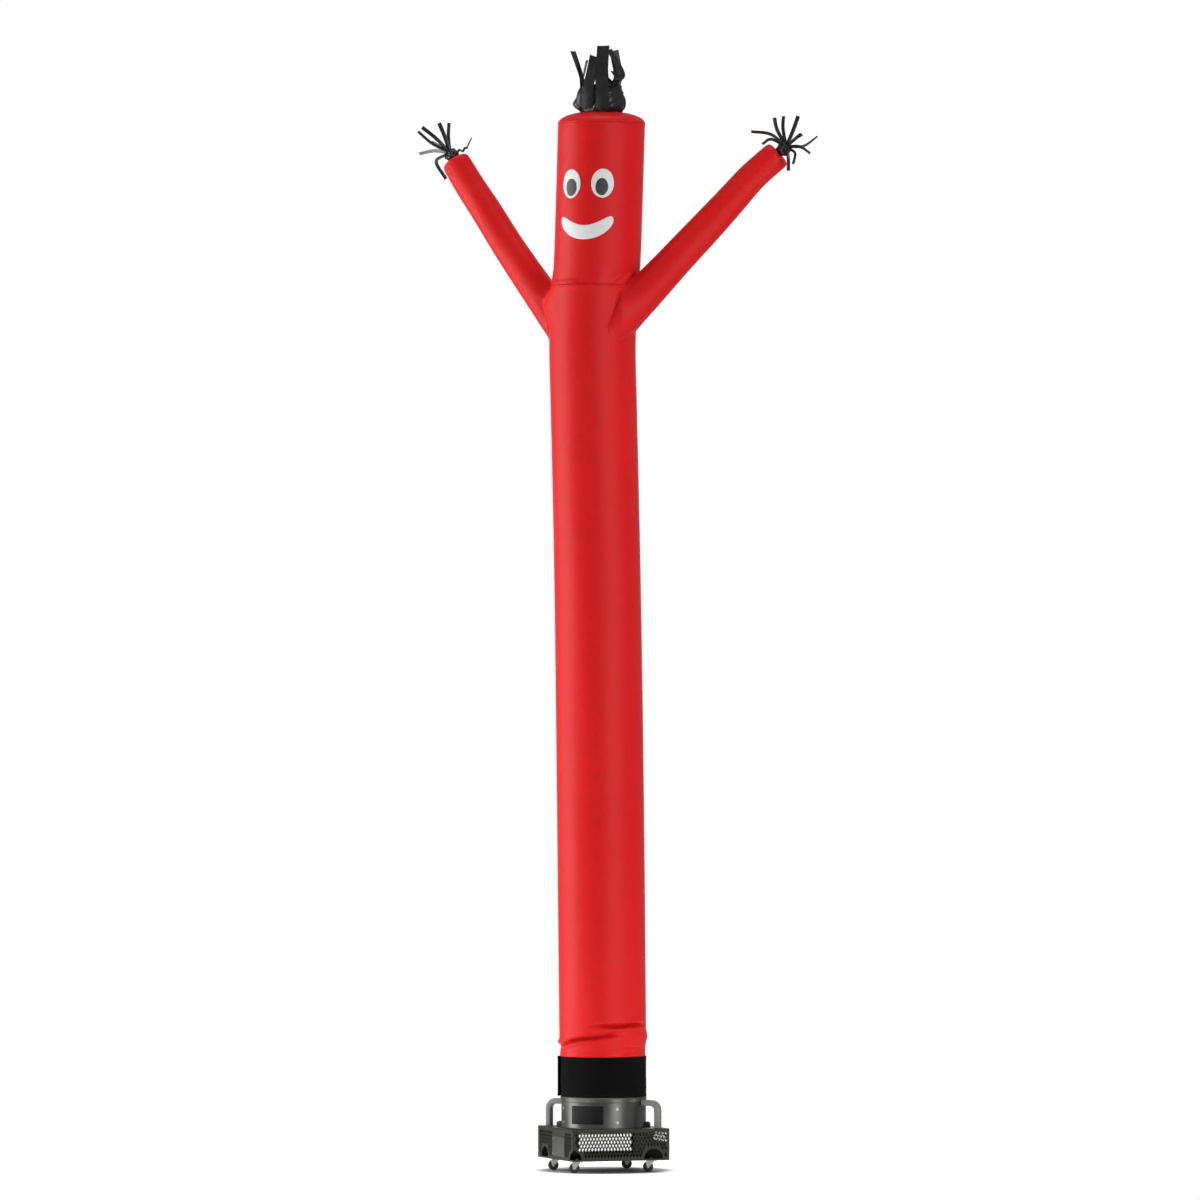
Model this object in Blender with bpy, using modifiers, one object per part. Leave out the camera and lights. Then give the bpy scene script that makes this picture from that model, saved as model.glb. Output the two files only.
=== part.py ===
"""Inflatable air dancer on its fan blower.

Metres, +Z up. The origin is on the floor under the middle of the blower. The dancer faces -Y and its
arms go out along -X and +X. A turn is measured round the upright tube from -Y towards +X, in degrees.
"""

from math import cos, exp, hypot, pi, radians, sin, sqrt

import bmesh
import bpy
from mathutils import Matrix, Vector

# Clearances and sheet thicknesses
GAP = 0.0003
FABRIC = 0.002
PATCH = 0.001
SHEET = 0.002

# Fabric tube
TUBE_STEPS = 28
HEM_Z = 0.6125
NECK_Z = 4.710
RIM_Z = 5.570
NECK_GAP = 0.0008

# The tube's centre line leans to one side and kinks back at the neck
CENTRE_LINE = (
    # height, side
    (0.30, -0.003),
    (0.90, -0.006),
    (1.97, -0.017),
    (3.04, -0.030),
    (4.10, -0.055),
    (4.36, -0.061),
    (4.60, -0.057),
    (4.71, -0.048),
    (4.82, -0.036),
    (5.17, -0.024),
    (5.60, -0.012),
)

TUBE_RADII = (
    # height, radius
    (0.30, 0.2275),
    (0.64, 0.2265),
    (0.70, 0.2300),
    (0.90, 0.2310),
    (6.00, 0.2310),
)

# Soft troughs and bulges of the cloth. The line of each rises by its slope for every radian of turn.
FOLDS = (
    # height, turn, slope, reach, width, depth
    (0.708, -20, 0.034, 62, 0.013, -0.012),
    (0.735, 20, 0.020, 30, 0.012, -0.008),
    (0.784, 48, 0.004, 52, 0.012, -0.014),
    (0.662, -62, 0.010, 34, 0.014, -0.006),
    (0.688, -80, 0.000, 30, 0.012, 0.007),
    (0.722, 98, -0.010, 60, 0.026, 0.008),
    (0.700, 170, 0.020, 66, 0.014, -0.010),
    (0.765, -140, -0.018, 60, 0.014, -0.011),
    (4.706, 0, 0.000, 400, 0.014, -0.005),
    (4.722, -34, 0.012, 30, 0.012, 0.008),
    (4.755, 46, 0.070, 24, 0.020, -0.007),
    (4.585, -88, 0.000, 52, 0.085, 0.030),
    (4.585, 84, 0.000, 46, 0.085, 0.012),
)

BODY_ROWS = (
    HEM_Z, 0.632, 0.650, 0.668, 0.684, 0.699, 0.714, 0.729, 0.744, 0.760, 0.776, 0.792, 0.812,
    0.900, 1.970, 3.040, 4.100, 4.340, 4.440, 4.510, 4.570, 4.630, 4.675, 4.693, NECK_Z - NECK_GAP / 2,
)
HEAD_ROWS = (NECK_Z + NECK_GAP / 2, 4.724, 4.745, 4.775, 4.820, 5.170, RIM_Z)

# Crown panel
CROWN_PROFILE = (
    # radius, height above the rim
    (0.2310, 0.0004),
    (0.2310, 0.0070),
    (0.2230, 0.0210),
    (0.2060, 0.0340),
    (0.1800, 0.0450),
    (0.1420, 0.0555),
    (0.1000, 0.0625),
)
CROWN_X = -0.0125

# Arms
ARM_STEPS = 18
ARM_TIP_RADII = (
    # distance before the end, share of the hand radius
    (0.032, 1.00),
    (0.012, 0.95),
    (0.002, 0.80),
    (0.000, 0.55),
)
LEFT_ARM = (
    # side, back, up, radius
    (-0.198, 0.015, 4.434, 0.0900),
    (-0.308, 0.035, 4.591, 0.0910),
    (-0.451, 0.070, 4.787, 0.0900),
    (-0.579, 0.105, 4.959, 0.0855),
    (-0.700, 0.140, 5.132, 0.0815),
    (-0.792, 0.165, 5.261, 0.0790),
    (-0.884, 0.188, 5.397, 0.0775),
)
RIGHT_ARM = (
    # side, back, up, radius
    (0.062, -0.045, 4.468, 0.0930),
    (0.194, -0.035, 4.610, 0.0940),
    (0.386, -0.020, 4.821, 0.0920),
    (0.544, -0.005, 4.989, 0.0875),
    (0.701, 0.010, 5.157, 0.0820),
    (0.819, 0.020, 5.282, 0.0790),
    (0.957, 0.030, 5.402, 0.0775),
)
ARM_HOLES = (
    # turn, height
    (-98, 4.575),
    (82, 4.575),
)
ARM_HOLE_HALF = (0.060, 0.100)

# Face patches. Turns and heights are of each patch's middle, sizes are along the cloth.
FACE_TURN = -2.4
FACE_GAP = 0.0006
EYES = (
    # side, turn from the face's middle, height, half width, half height, pupil shift, pupil drop
    ("left", -21.9, 5.2435, 0.0585, 0.0770, 0.003, 0.0190),
    ("right", 22.6, 5.2445, 0.0610, 0.0770, -0.004, 0.0185),
)
PUPIL_HALF = (0.0335, 0.0455)
SMILE_HALF_WIDTH = 0.1540
SMILE_LOW_Z = 4.9855
SMILE_RISE = 0.0730
SMILE_HALF_THICKNESS = 0.0375
SMILE_STEPS = 18

# Hair: a gathered collar with a thick rim, and the strips that grow out of it
HAIR_STEPS = 24
HAIR_SECTION = (
    # outward from the ring's radius, height above the seat
    (0.000, 0.000),
    (0.016, 0.045),
    (0.012, 0.095),
    (-0.006, 0.134),
    (-0.024, 0.140),
    (-0.026, 0.128),
    (-0.010, 0.092),
    (0.007, 0.045),
    (-0.006, 0.000),
)
HAIR_RADIUS = 0.112
HAIR_CRUMPLES = (
    # waves round the ring, phase, size
    (5, 0.6, 0.0060),
    (8, 2.1, 0.0045),
    (3, 4.0, 0.0050),
)
STRIP = 0.0022
HAIR_STRIPS = (
    # turn of the root, tip x, y, z, bend x, y, z, width, turn of the broad side
    (18, 0.032, -0.072, 0.350, 0.036, -0.100, 0.190, 0.058, 14),
    (-14, -0.022, -0.044, 0.297, -0.034, -0.084, 0.190, 0.050, 24),
    (-58, -0.147, -0.035, 0.326, -0.100, -0.045, 0.200, 0.050, 86),
    (-96, -0.088, 0.030, 0.280, -0.104, 0.020, 0.190, 0.056, 106),
    (-130, -0.064, 0.075, 0.262, -0.092, 0.062, 0.190, 0.058, 130),
    (176, -0.010, 0.060, 0.330, -0.016, 0.092, 0.190, 0.060, 6),
    (136, 0.056, 0.050, 0.330, 0.070, 0.080, 0.210, 0.056, 60),
    (98, 0.070, 0.028, 0.296, 0.112, 0.020, 0.200, 0.058, 96),
    (66, 0.052, -0.030, 0.332, 0.128, -0.040, 0.200, 0.046, 76),
    (42, 0.082, -0.060, 0.215, 0.112, -0.075, 0.170, 0.044, 50),
)

# Hand tassels: the strips leave a knot on the closed end of the arm
KNOT_RADIUS = 0.036
KNOT_PROFILE = (
    # distance from the arm's end, share of the knot's radius
    (0.000, 0.60),
    (0.018, 0.95),
    (0.044, 1.00),
    (0.060, 0.80),
    (0.066, 0.45),
)
KNOT_ROOT = 0.053
KNOT_STEPS = 10
LEFT_STRIPS = (
    # tip x, y, z, bend x, y, z, width
    (-0.185, 0.040, -0.002, -0.094, 0.020, 0.012, 0.020),
    (-0.170, -0.030, 0.115, -0.096, -0.014, 0.050, 0.018),
    (-0.127, 0.072, 0.064, -0.070, 0.040, 0.038, 0.016),
    (-0.139, -0.058, 0.136, -0.064, -0.040, 0.074, 0.020),
    (-0.049, -0.040, 0.158, -0.020, -0.030, 0.084, 0.022),
    (-0.019, 0.045, 0.163, -0.018, 0.030, 0.087, 0.020),
    (0.112, 0.034, 0.080, 0.072, 0.036, 0.020, 0.014),
    (0.012, -0.113, -0.146, -0.053, -0.078, -0.050, 0.018),
)
RIGHT_STRIPS = (
    # tip x, y, z, bend x, y, z, width
    (-0.208, 0.058, 0.086, -0.100, 0.052, 0.070, 0.018),
    (-0.103, -0.104, 0.010, -0.060, -0.082, 0.036, 0.018),
    (-0.054, -0.040, 0.152, -0.044, -0.024, 0.090, 0.020),
    (-0.028, 0.050, 0.165, -0.026, 0.032, 0.100, 0.018),
    (0.071, -0.020, 0.160, 0.040, -0.012, 0.082, 0.022),
    (0.055, 0.062, 0.062, 0.034, 0.038, 0.038, 0.018),
    (0.160, 0.045, 0.055, 0.090, 0.022, 0.004, 0.020),
    (0.145, -0.052, -0.040, 0.085, -0.028, -0.004, 0.018),
    (0.042, -0.113, -0.133, 0.034, -0.085, -0.060, 0.018),
    (0.044, -0.024, -0.094, 0.052, -0.014, -0.036, 0.014),
)

# Sleeve: one band wrapped a little over a full turn
SLEEVE_THICKNESS = 0.003
SLEEVE_RADIUS = 0.2245
SLEEVE_ROWS = (
    # height, slack outwards
    (0.3996, 0.0000),
    (0.455, 0.0014),
    (0.540, 0.0008),
    (0.6120, 0.0000),
)
SLEEVE_STEPS = 36
SLEEVE_START_TURN = -80
SLEEVE_RISE_STEPS = 2
SLEEVE_FREE_LIFTS = (0.0000, 0.0070, 0.0135)
SLEEVE_LAYER = 0.0038

# Blower
BLOWER_TURN = 36
BASE_HALF = 0.2725
BASE_BOTTOM = 0.0670
BASE_TOP = 0.2350
INTAKE_RADIUS = 0.208
DRUM_RADIUS = 0.2240
DRUM_TOP = 0.5850
DRUM_STEPS = 36
DRUM_FLAT = DRUM_RADIUS * cos(pi / DRUM_STEPS)
RING_BOTTOM = 0.3720
RING_TOP = 0.3990
RING_PROUD = 0.0055

# Perforations: staggered diamonds, and half-round cut-outs over the caster nuts
HOLE_ROWS = 3
HOLE_COLUMNS = 11
HOLE_PITCH = (0.0400, 0.0340)
HOLE_HALF = (0.0110, 0.0135)
HOLE_MIDDLE_Z = 0.1680
ARCH_RADIUS = 0.053
ARCH_SILL = 0.009
ARCH_STEPS = 10
HOLE_MARGIN = 0.006
EDGE_MARGIN = 0.012
PANELS = (
    # name, quarter turn, arch centres, corners without holes, cut at each end, stretch left solid
    ("panel_front", 0, (0.184,), (), (0.050, 0.0), None),
    ("panel_right", 90, (), (-0.165, 0.165), (0.0, 0.0), None),
    ("panel_back", 180, (), (-0.184, 0.184), (0.0, 0.0), None),
    ("panel_left", 270, (-0.165,), (), (0.0, 0.042), (-0.050, 0.152)),
)
COVER_SPAN = (-0.042, 0.146)
COVER_HEIGHTS = (0.086, 0.190)
SCREW_RADIUS = 0.0042
SCREW_INSET = 0.012

LABEL_TURN = -8
LABEL_ARC = 48
LABEL_HEIGHTS = (0.2580, 0.3550)
LABEL_STEPS = 8
BOLT_TURNS = (-55, 35, 125, 215)
BOLT_HEIGHTS = (0.2650, 0.3380)
BOLT_RADIUS = 0.0065
BOLT_HEIGHT = 0.0045

HANDLE_OUT = 0.3180
HANDLE_BAR_Z = 0.3680
HANDLE_BEND = 0.0400
HANDLE_BEND_STEPS = 5
HANDLE_SECTION = (0.0400, 0.0300)
HANDLE_CORNER = 0.0060
HANDLE_TURNS = {"handle_right": -9, "handle_left": 171}
BRACKET_SIZE = (0.026, 0.030, 0.030)
BRACKET_TURNS = {"bracket_right": 8, "bracket_left": 188}

# Casters
CASTER_U = 0.208
CASTER_V = 0.165
CASTER_TRAIL_ANGLE = 196
CASTER_TRAIL = 0.0150
WHEEL_RADIUS = 0.0285
WHEEL_HALF_WIDTH = 0.0100
WHEEL_STEPS = 18
AXLE_Z = WHEEL_RADIUS * cos(pi / WHEEL_STEPS)
FORK_INNER_HALF = 0.0112
FORK_THICKNESS = 0.0022
CROWN_BOTTOM = 0.0600
CROWN_TOP = 0.0624
STEM_RADIUS = 0.0045
STEM_STEPS = 8
RUNNING_CLEARANCE = 0.0005
AXLE_RADIUS = 0.0030
AXLE_STEPS = 10
CASTERS = (
    # name, u side, v side, brake tab
    ("front_left", -1, -1, True),
    ("front_right", 1, -1, True),
    ("back_left", -1, 1, False),
    ("back_right", 1, 1, False),
)


def clear_scene():
    """Removes every object, so that the script can be run again."""
    for old in list(bpy.data.objects):
        bpy.data.objects.remove(old, do_unlink=True)


def new_collection(name):
    group = bpy.data.collections.new(name)
    bpy.context.scene.collection.children.link(group)
    return group


def new_material(name, colour, roughness, metallic=0.0):
    made = bpy.data.materials.new(name)
    made.use_nodes = True
    shader = made.node_tree.nodes["Principled BSDF"]
    shader.inputs["Base Color"].default_value = (*colour, 1.0)
    shader.inputs["Roughness"].default_value = roughness
    shader.inputs["Metallic"].default_value = metallic
    made.diffuse_color = (*colour, 1.0)
    return made


clear_scene()
PARTS = new_collection("air_dancer")
CUTTERS = new_collection("cutters_and_guides")

RED_NYLON = (0.62, 0.012, 0.018)
BLACK_CLOTH = (0.012, 0.012, 0.013)
WHITE_CLOTH = (0.80, 0.80, 0.80)
PUPIL_GREY = (0.030, 0.034, 0.036)
GREY_PAINT = (0.085, 0.085, 0.085)
DARK_PAINT = (0.045, 0.046, 0.042)
ZINC = (0.55, 0.55, 0.56)
BLACK_RUBBER = (0.015, 0.015, 0.015)


def place(made, name, colour, roughness, metallic=0.0, parent=None):
    """Names the object, gives it its own material and puts it among the parts."""
    made.name = name
    made.data.name = name
    made.data.materials.clear()
    made.data.materials.append(new_material(name, colour, roughness, metallic))
    PARTS.objects.link(made)
    made.parent = parent
    return made


def as_guide(made, name, parent=None):
    """Keeps a cutter or a guide out of the model."""
    made.name = name
    made.hide_render = True
    made.display_type = "WIRE"
    CUTTERS.objects.link(made)
    made.parent = parent
    return made


def object_from_bmesh(bm, smooth_angle=None):
    bmesh.ops.recalc_face_normals(bm, faces=bm.faces)
    data = bpy.data.meshes.new("mesh")
    bm.to_mesh(data)
    bm.free()
    if smooth_angle is not None:
        data.shade_smooth()
        data.set_sharp_from_angle(angle=radians(smooth_angle))
    return bpy.data.objects.new("object", data)


def empty_at(name, location, turn=0.0, parent=None):
    made = bpy.data.objects.new(name, None)
    made.location = location
    made.rotation_euler = (0.0, 0.0, radians(turn))
    PARTS.objects.link(made)
    made.parent = parent
    return made


def loft(rings, capped=False, smooth_angle=50):
    """A tube through closed rings of points that run anticlockwise seen from the tube's far end."""
    bm = bmesh.new()
    rows = [[bm.verts.new(point) for point in ring] for ring in rings]
    for low, high in zip(rows, rows[1:]):
        for k in range(len(low)):
            following = (k + 1) % len(low)
            bm.faces.new((low[k], low[following], high[following], high[k]))
    if capped:
        bm.faces.new(list(reversed(rows[0])))
        bm.faces.new(rows[-1])
    data = bpy.data.meshes.new("loft")
    bm.to_mesh(data)
    bm.free()
    data.shade_smooth()
    data.set_sharp_from_angle(angle=radians(smooth_angle))
    return bpy.data.objects.new("loft", data)


def solidify(made, thickness, offset=-1.0):
    shell = made.modifiers.new("thickness", "SOLIDIFY")
    shell.thickness = thickness
    shell.offset = offset
    shell.use_even_offset = True
    return shell


def boolean(made, other, operation):
    step = made.modifiers.new(operation.lower(), "BOOLEAN")
    step.operation = operation
    step.object = other
    step.solver = "EXACT"
    return step


def screw(made, steps):
    turned = made.modifiers.new("turned", "SCREW")
    turned.steps = steps
    turned.render_steps = steps
    turned.use_merge_vertices = True
    turned.merge_threshold = 0.00001
    turned.use_smooth_shade = True
    return turned


def profile_object(points, closed):
    """A profile in the XZ plane, from its top down its outer side."""
    bm = bmesh.new()
    corners = [bm.verts.new((x, 0.0, z)) for x, z in points]
    for first, second in zip(corners, corners[1:]):
        bm.edges.new((first, second))
    if closed:
        bm.edges.new((corners[-1], corners[0]))
    data = bpy.data.meshes.new("profile")
    bm.to_mesh(data)
    bm.free()
    return bpy.data.objects.new("profile", data)


def box_object(size, centre):
    bm = bmesh.new()
    bmesh.ops.create_cube(bm, size=1.0)
    bmesh.ops.scale(bm, vec=size, verts=bm.verts)
    bmesh.ops.translate(bm, vec=centre, verts=bm.verts)
    return object_from_bmesh(bm)


def cylinder_object(radius, height, centre, steps, matrix=None):
    bm = bmesh.new()
    bmesh.ops.create_cone(
        bm, cap_ends=True, segments=steps, radius1=radius, radius2=radius, depth=height
    )
    bmesh.ops.translate(bm, vec=centre, verts=bm.verts)
    if matrix is not None:
        bmesh.ops.transform(bm, matrix=matrix, verts=bm.verts)
    return object_from_bmesh(bm, 40)


def from_table(table, height):
    """Reads a table of heights and values, with a straight line between its rows."""
    for (low, value), (high, next_value) in zip(table, table[1:]):
        if height <= high:
            share = max(0.0, (height - low) / (high - low))
            return value + share * (next_value - value)
    return table[-1][1]


def fold_offset(turn, height):
    """How far the folds move the cloth outwards at a turn and a height."""
    total = 0.0
    for middle, centre, slope, reach, width, depth in FOLDS:
        away = (turn - centre + 180.0) % 360.0 - 180.0
        if abs(away) < reach:
            fade = cos(0.5 * pi * away / reach)
            line = middle + slope * radians(away)
            total += depth * fade * exp(-(((height - line) / width) ** 2))
    return total


def skin_point(turn, height, outwards=0.0):
    """A point on the outside of the inflated tube."""
    radius = from_table(TUBE_RADII, height) + fold_offset(turn, height) + outwards
    side = from_table(CENTRE_LINE, height)
    angle = radians(turn)
    return Vector((side + radius * sin(angle), -radius * cos(angle), height))


def skin_ring(height, outwards=0.0):
    return [skin_point(360.0 * k / TUBE_STEPS, height, outwards) for k in range(TUBE_STEPS)]


def smooth_path(points, steps):
    """Reads a smooth curve through the points, with the given steps between each pair."""
    ends = [points[0] * 2 - points[1], *points, points[-1] * 2 - points[-2]]
    path = []
    for before, start, end, after in zip(ends, ends[1:], ends[2:], ends[3:]):
        for k in range(steps):
            t = k / steps
            along = (
                start * 2
                + (end - before) * t
                + (before * 2 - start * 5 + end * 4 - after) * t**2
                + (start * 3 - before - end * 3 + after) * t**3
            )
            path.append(along * 0.5)
    path.append(points[-1].copy())
    return path


def make_body():
    """The body tube, with its two oval arm holes."""
    body = loft([skin_ring(height) for height in BODY_ROWS])
    solidify(body, FABRIC)
    place(body, "body_tube", RED_NYLON, 0.35)
    for number, (turn, height) in enumerate(ARM_HOLES):
        hole = cylinder_object(1.0, 0.16, (0.0, 0.0, 0.0), 14)
        wide, tall = ARM_HOLE_HALF
        centre = skin_point(turn, height)
        flat = Matrix.Diagonal((tall, wide, 1.0, 1.0))
        lay_out = Matrix.Rotation(radians(turn - 90), 4, "Z") @ Matrix.Rotation(radians(90), 4, "Y")
        hole.data.transform(Matrix.Translation(centre) @ lay_out @ flat)
        as_guide(hole, f"arm_hole_{number + 1}")
        boolean(body, hole, "DIFFERENCE")


def make_head():
    head = loft([skin_ring(height) for height in HEAD_ROWS])
    solidify(head, FABRIC)
    place(head, "head_tube", RED_NYLON, 0.35)
    crown = profile_object([(r, z) for r, z in reversed(CROWN_PROFILE)], closed=False)
    screw(crown, TUBE_STEPS)
    solidify(crown, FABRIC)
    place(crown, "head_cap", RED_NYLON, 0.35)
    crown.location = (CROWN_X, 0.0, RIM_Z)


def skin_block():
    """A solid of the shoulders and the neck, a gap larger than the cloth, which trims the arms."""
    rows = [row for row in BODY_ROWS if row > 4.0] + [row for row in HEAD_ROWS if row < 5.3]
    block = loft([skin_ring(height, 2 * GAP) for height in rows], capped=True)
    return as_guide(block, "shoulder_block")


def arm_frames(points):
    """The arm's direction and two square-on directions at each point of its centre line."""
    frames = []
    for k, point in enumerate(points):
        ahead = points[min(k + 1, len(points) - 1)] - points[max(k - 1, 0)]
        along = ahead.normalized()
        across = along.cross(Vector((0.0, 1.0, 0.0))).normalized()
        frames.append((point, along, across, along.cross(across)))
    return frames


def ring_about(point, across, over, radius, steps):
    return [
        point + across * (radius * cos(2 * pi * k / steps)) + over * (radius * sin(2 * pi * k / steps))
        for k in range(steps)
    ]


def make_arm(name, table, block):
    """A tapered tube, cut to the shoulder and closed at the hand. Returns its end and direction."""
    frames = arm_frames([Vector(row[:3]) for row in table])
    radii = [row[3] for row in table]
    rings = [
        ring_about(point, across, over, radius, ARM_STEPS)
        for (point, _, across, over), radius in zip(frames[:-1], radii)
    ]
    end, along, across, over = frames[-1]
    for before, share in ARM_TIP_RADII:
        rings.append(ring_about(end - along * before, across, over, radii[-1] * share, ARM_STEPS))
    arm = loft(rings)
    bm = bmesh.new()
    bm.from_mesh(arm.data)
    bm.edges.ensure_lookup_table()
    tip_edges = [
        edge
        for edge in bm.edges
        if edge.is_boundary and all((v.co - end).length < radii[-1] for v in edge.verts)
    ]
    bmesh.ops.holes_fill(bm, edges=tip_edges)
    bmesh.ops.recalc_face_normals(bm, faces=bm.faces)
    bm.to_mesh(arm.data)
    bm.free()
    solidify(arm, FABRIC)
    boolean(arm, block, "DIFFERENCE")
    place(arm, name, RED_NYLON, 0.35)
    return end, along, across, over


def strip_object(points, width, broad):
    """A flat strip of cloth along the points, its broad side along the given direction."""
    rings = []
    for k, point in enumerate(points):
        along = (points[min(k + 1, len(points) - 1)] - points[max(k - 1, 0)]).normalized()
        flat = broad - along * broad.dot(along)
        flat.normalize()
        thick = along.cross(flat)
        half = flat * (width / 2)
        up = thick * (STRIP / 2)
        rings.append([point + half + up, point - half + up, point - half - up, point + half - up])
    return loft(rings, capped=True, smooth_angle=30)


def add_strip(backing, number, points, width, broad):
    strip = strip_object(points, width, broad)
    as_guide(strip, f"{backing.name}_strip_{number}")
    boolean(backing, strip, "UNION")


def make_hand_tassel(name, hand, table):
    """A knot against the closed end of the arm, with its strips fused into it."""
    end, along, across, over = hand
    rings = [
        ring_about(end + along * (GAP + height), across, over, KNOT_RADIUS * share, KNOT_STEPS)
        for height, share in KNOT_PROFILE
    ]
    knot = loft(rings, capped=True)
    place(knot, name, BLACK_CLOTH, 0.4)
    root = end + along * KNOT_ROOT
    for number, (tip_x, tip_y, tip_z, bend_x, bend_y, bend_z, width) in enumerate(table):
        tip = root + Vector((tip_x, tip_y, tip_z))
        bend = root + Vector((bend_x, bend_y, bend_z))
        away = (bend - root).normalized()
        start = root + away * (0.30 * KNOT_RADIUS)
        broad = away.cross(Vector((0.25, 1.0, 0.10))).cross(away)
        broad = (broad + away.cross(broad) * (0.5 if number % 2 else -0.7)).normalized()
        add_strip(knot, number + 1, smooth_path([start, bend, tip], 2), width, broad)


def hair_radius(turn, outwards):
    angle = radians(turn)
    crumple = sum(size * sin(waves * angle + phase) for waves, phase, size in HAIR_CRUMPLES)
    return HAIR_RADIUS + outwards + crumple


def make_hair():
    """The gathered collar on the crown and its strips."""
    seat = RIM_Z + CROWN_PROFILE[-1][1] + GAP
    bm = bmesh.new()
    rows = []
    for outwards, height in HAIR_SECTION:
        row = []
        for k in range(HAIR_STEPS):
            turn = 360.0 * k / HAIR_STEPS
            calm = 0.25 if height < 0.01 else 1.0
            radius = HAIR_RADIUS + outwards + calm * (hair_radius(turn, 0.0) - HAIR_RADIUS)
            x = CROWN_X + radius * sin(radians(turn))
            row.append(bm.verts.new((x, -radius * cos(radians(turn)), seat + height)))
        rows.append(row)
    for low, high in zip(rows, rows[1:] + rows[:1]):
        for k in range(HAIR_STEPS):
            following = (k + 1) % HAIR_STEPS
            bm.faces.new((low[k], low[following], high[following], high[k]))
    collar = object_from_bmesh(bm, 50)
    place(collar, "hair_tassel", BLACK_CLOTH, 0.35)
    rim = HAIR_SECTION[4]
    for number, row in enumerate(HAIR_STRIPS):
        turn, tip_x, tip_y, tip_z, bend_x, bend_y, bend_z, width, face = row
        radius = hair_radius(turn, rim[0] + 0.009)
        root = Vector((radius * sin(radians(turn)), -radius * cos(radians(turn)), rim[1] - 0.006))
        bend = Vector((bend_x, bend_y, bend_z))
        tip = Vector((tip_x, tip_y, tip_z))
        offset = Vector((CROWN_X, 0.0, seat))
        points = [point + offset for point in smooth_path([root, bend, tip], 3)]
        broad = Vector((cos(radians(face)), sin(radians(face)), 0.0))
        add_strip(collar, number + 1, points, width, broad)


def face_point(turn, along, height, outwards):
    """A point on the head at a distance along the cloth from a turn."""
    radius = from_table(TUBE_RADII, height)
    return skin_point(turn + along / radius * 180.0 / pi, height, outwards)


def patch_object(grid, name, colour):
    """A thin patch through rows of points, thickened outwards."""
    bm = bmesh.new()
    rows = [[bm.verts.new(point) for point in row] for row in grid]
    for low, high in zip(rows, rows[1:]):
        for k in range(len(low) - 1):
            bm.faces.new((low[k], low[k + 1], high[k + 1], high[k]))
    data = bpy.data.meshes.new("patch")
    bm.to_mesh(data)
    bm.free()
    made = bpy.data.objects.new("patch", data)
    solidify(made, PATCH, offset=1.0)
    return place(made, name, colour, 0.4)


def oval_grid(turn, height, half_width, half_height, outwards, cells):
    """A square grid drawn in to an oval, on the head's surface."""
    grid = []
    for row in range(cells + 1):
        v = 2 * row / cells - 1
        line = []
        for column in range(cells + 1):
            u = 2 * column / cells - 1
            x = half_width * u * sqrt(1 - v * v / 2)
            y = half_height * v * sqrt(1 - u * u / 2)
            line.append(face_point(turn, x, height + y, outwards))
        grid.append(line)
    return grid


def make_face():
    pupil_gap = FACE_GAP + PATCH + FACE_GAP
    for side, turn, height, half_width, half_height, shift, drop in EYES:
        turn += FACE_TURN
        white = oval_grid(turn, height, half_width, half_height, FACE_GAP, 6)
        patch_object(white, f"eye_white_{side}", WHITE_CLOTH)
        turn += shift / from_table(TUBE_RADII, height) * 180.0 / pi
        dark = oval_grid(turn, height - drop, *PUPIL_HALF, pupil_gap, 5)
        patch_object(dark, f"pupil_{side}", PUPIL_GREY)
    grid = [[], [], []]
    for k in range(SMILE_STEPS + 1):
        even = 2 * k / SMILE_STEPS - 1
        s = 0.5 * (even + sin(0.5 * pi * even))
        middle = SMILE_LOW_Z + SMILE_RISE * s * s
        half = SMILE_HALF_THICKNESS * (0.12 + 0.88 * sqrt(max(0.0, 1 - s**4)))
        for row, side in zip(grid, (-1, 0, 1)):
            lean = -side * half * 0.35 * s
            row.append(face_point(FACE_TURN, SMILE_HALF_WIDTH * s + lean, middle + side * half, FACE_GAP))
    patch_object(grid, "smile", WHITE_CLOTH)


def make_sleeve():
    """The black band. It starts under its own end, goes once round, and its free end stands off."""
    step = 360.0 / SLEEVE_STEPS
    last = SLEEVE_STEPS + len(SLEEVE_FREE_LIFTS) - 1
    bm = bmesh.new()
    rows = [[] for _ in SLEEVE_ROWS]
    for k in range(last + 1):
        turn = radians(SLEEVE_START_TURN - 2 * step + step * k)
        rise = SLEEVE_LAYER * min(1.0, max(0.0, (k - SLEEVE_STEPS + 1 + SLEEVE_RISE_STEPS) / SLEEVE_RISE_STEPS))
        lift = SLEEVE_FREE_LIFTS[k - SLEEVE_STEPS] if k >= SLEEVE_STEPS else 0.0
        for row, (height, slack) in zip(rows, SLEEVE_ROWS):
            loose = slack * (1.0 if SLEEVE_RISE_STEPS < k < SLEEVE_STEPS - 2 else 0.0)
            radius = SLEEVE_RADIUS + rise + lift + loose
            row.append(bm.verts.new((radius * sin(turn), -radius * cos(turn), height)))
    for low, high in zip(rows, rows[1:]):
        for k in range(last):
            bm.faces.new((low[k], low[k + 1], high[k + 1], high[k]))
    data = bpy.data.meshes.new("sleeve")
    bm.to_mesh(data)
    bm.free()
    data.shade_smooth()
    sleeve = bpy.data.objects.new("sleeve", data)
    solidify(sleeve, SLEEVE_THICKNESS, offset=1.0)
    place(sleeve, "base_sleeve", BLACK_CLOTH, 0.6)


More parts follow.
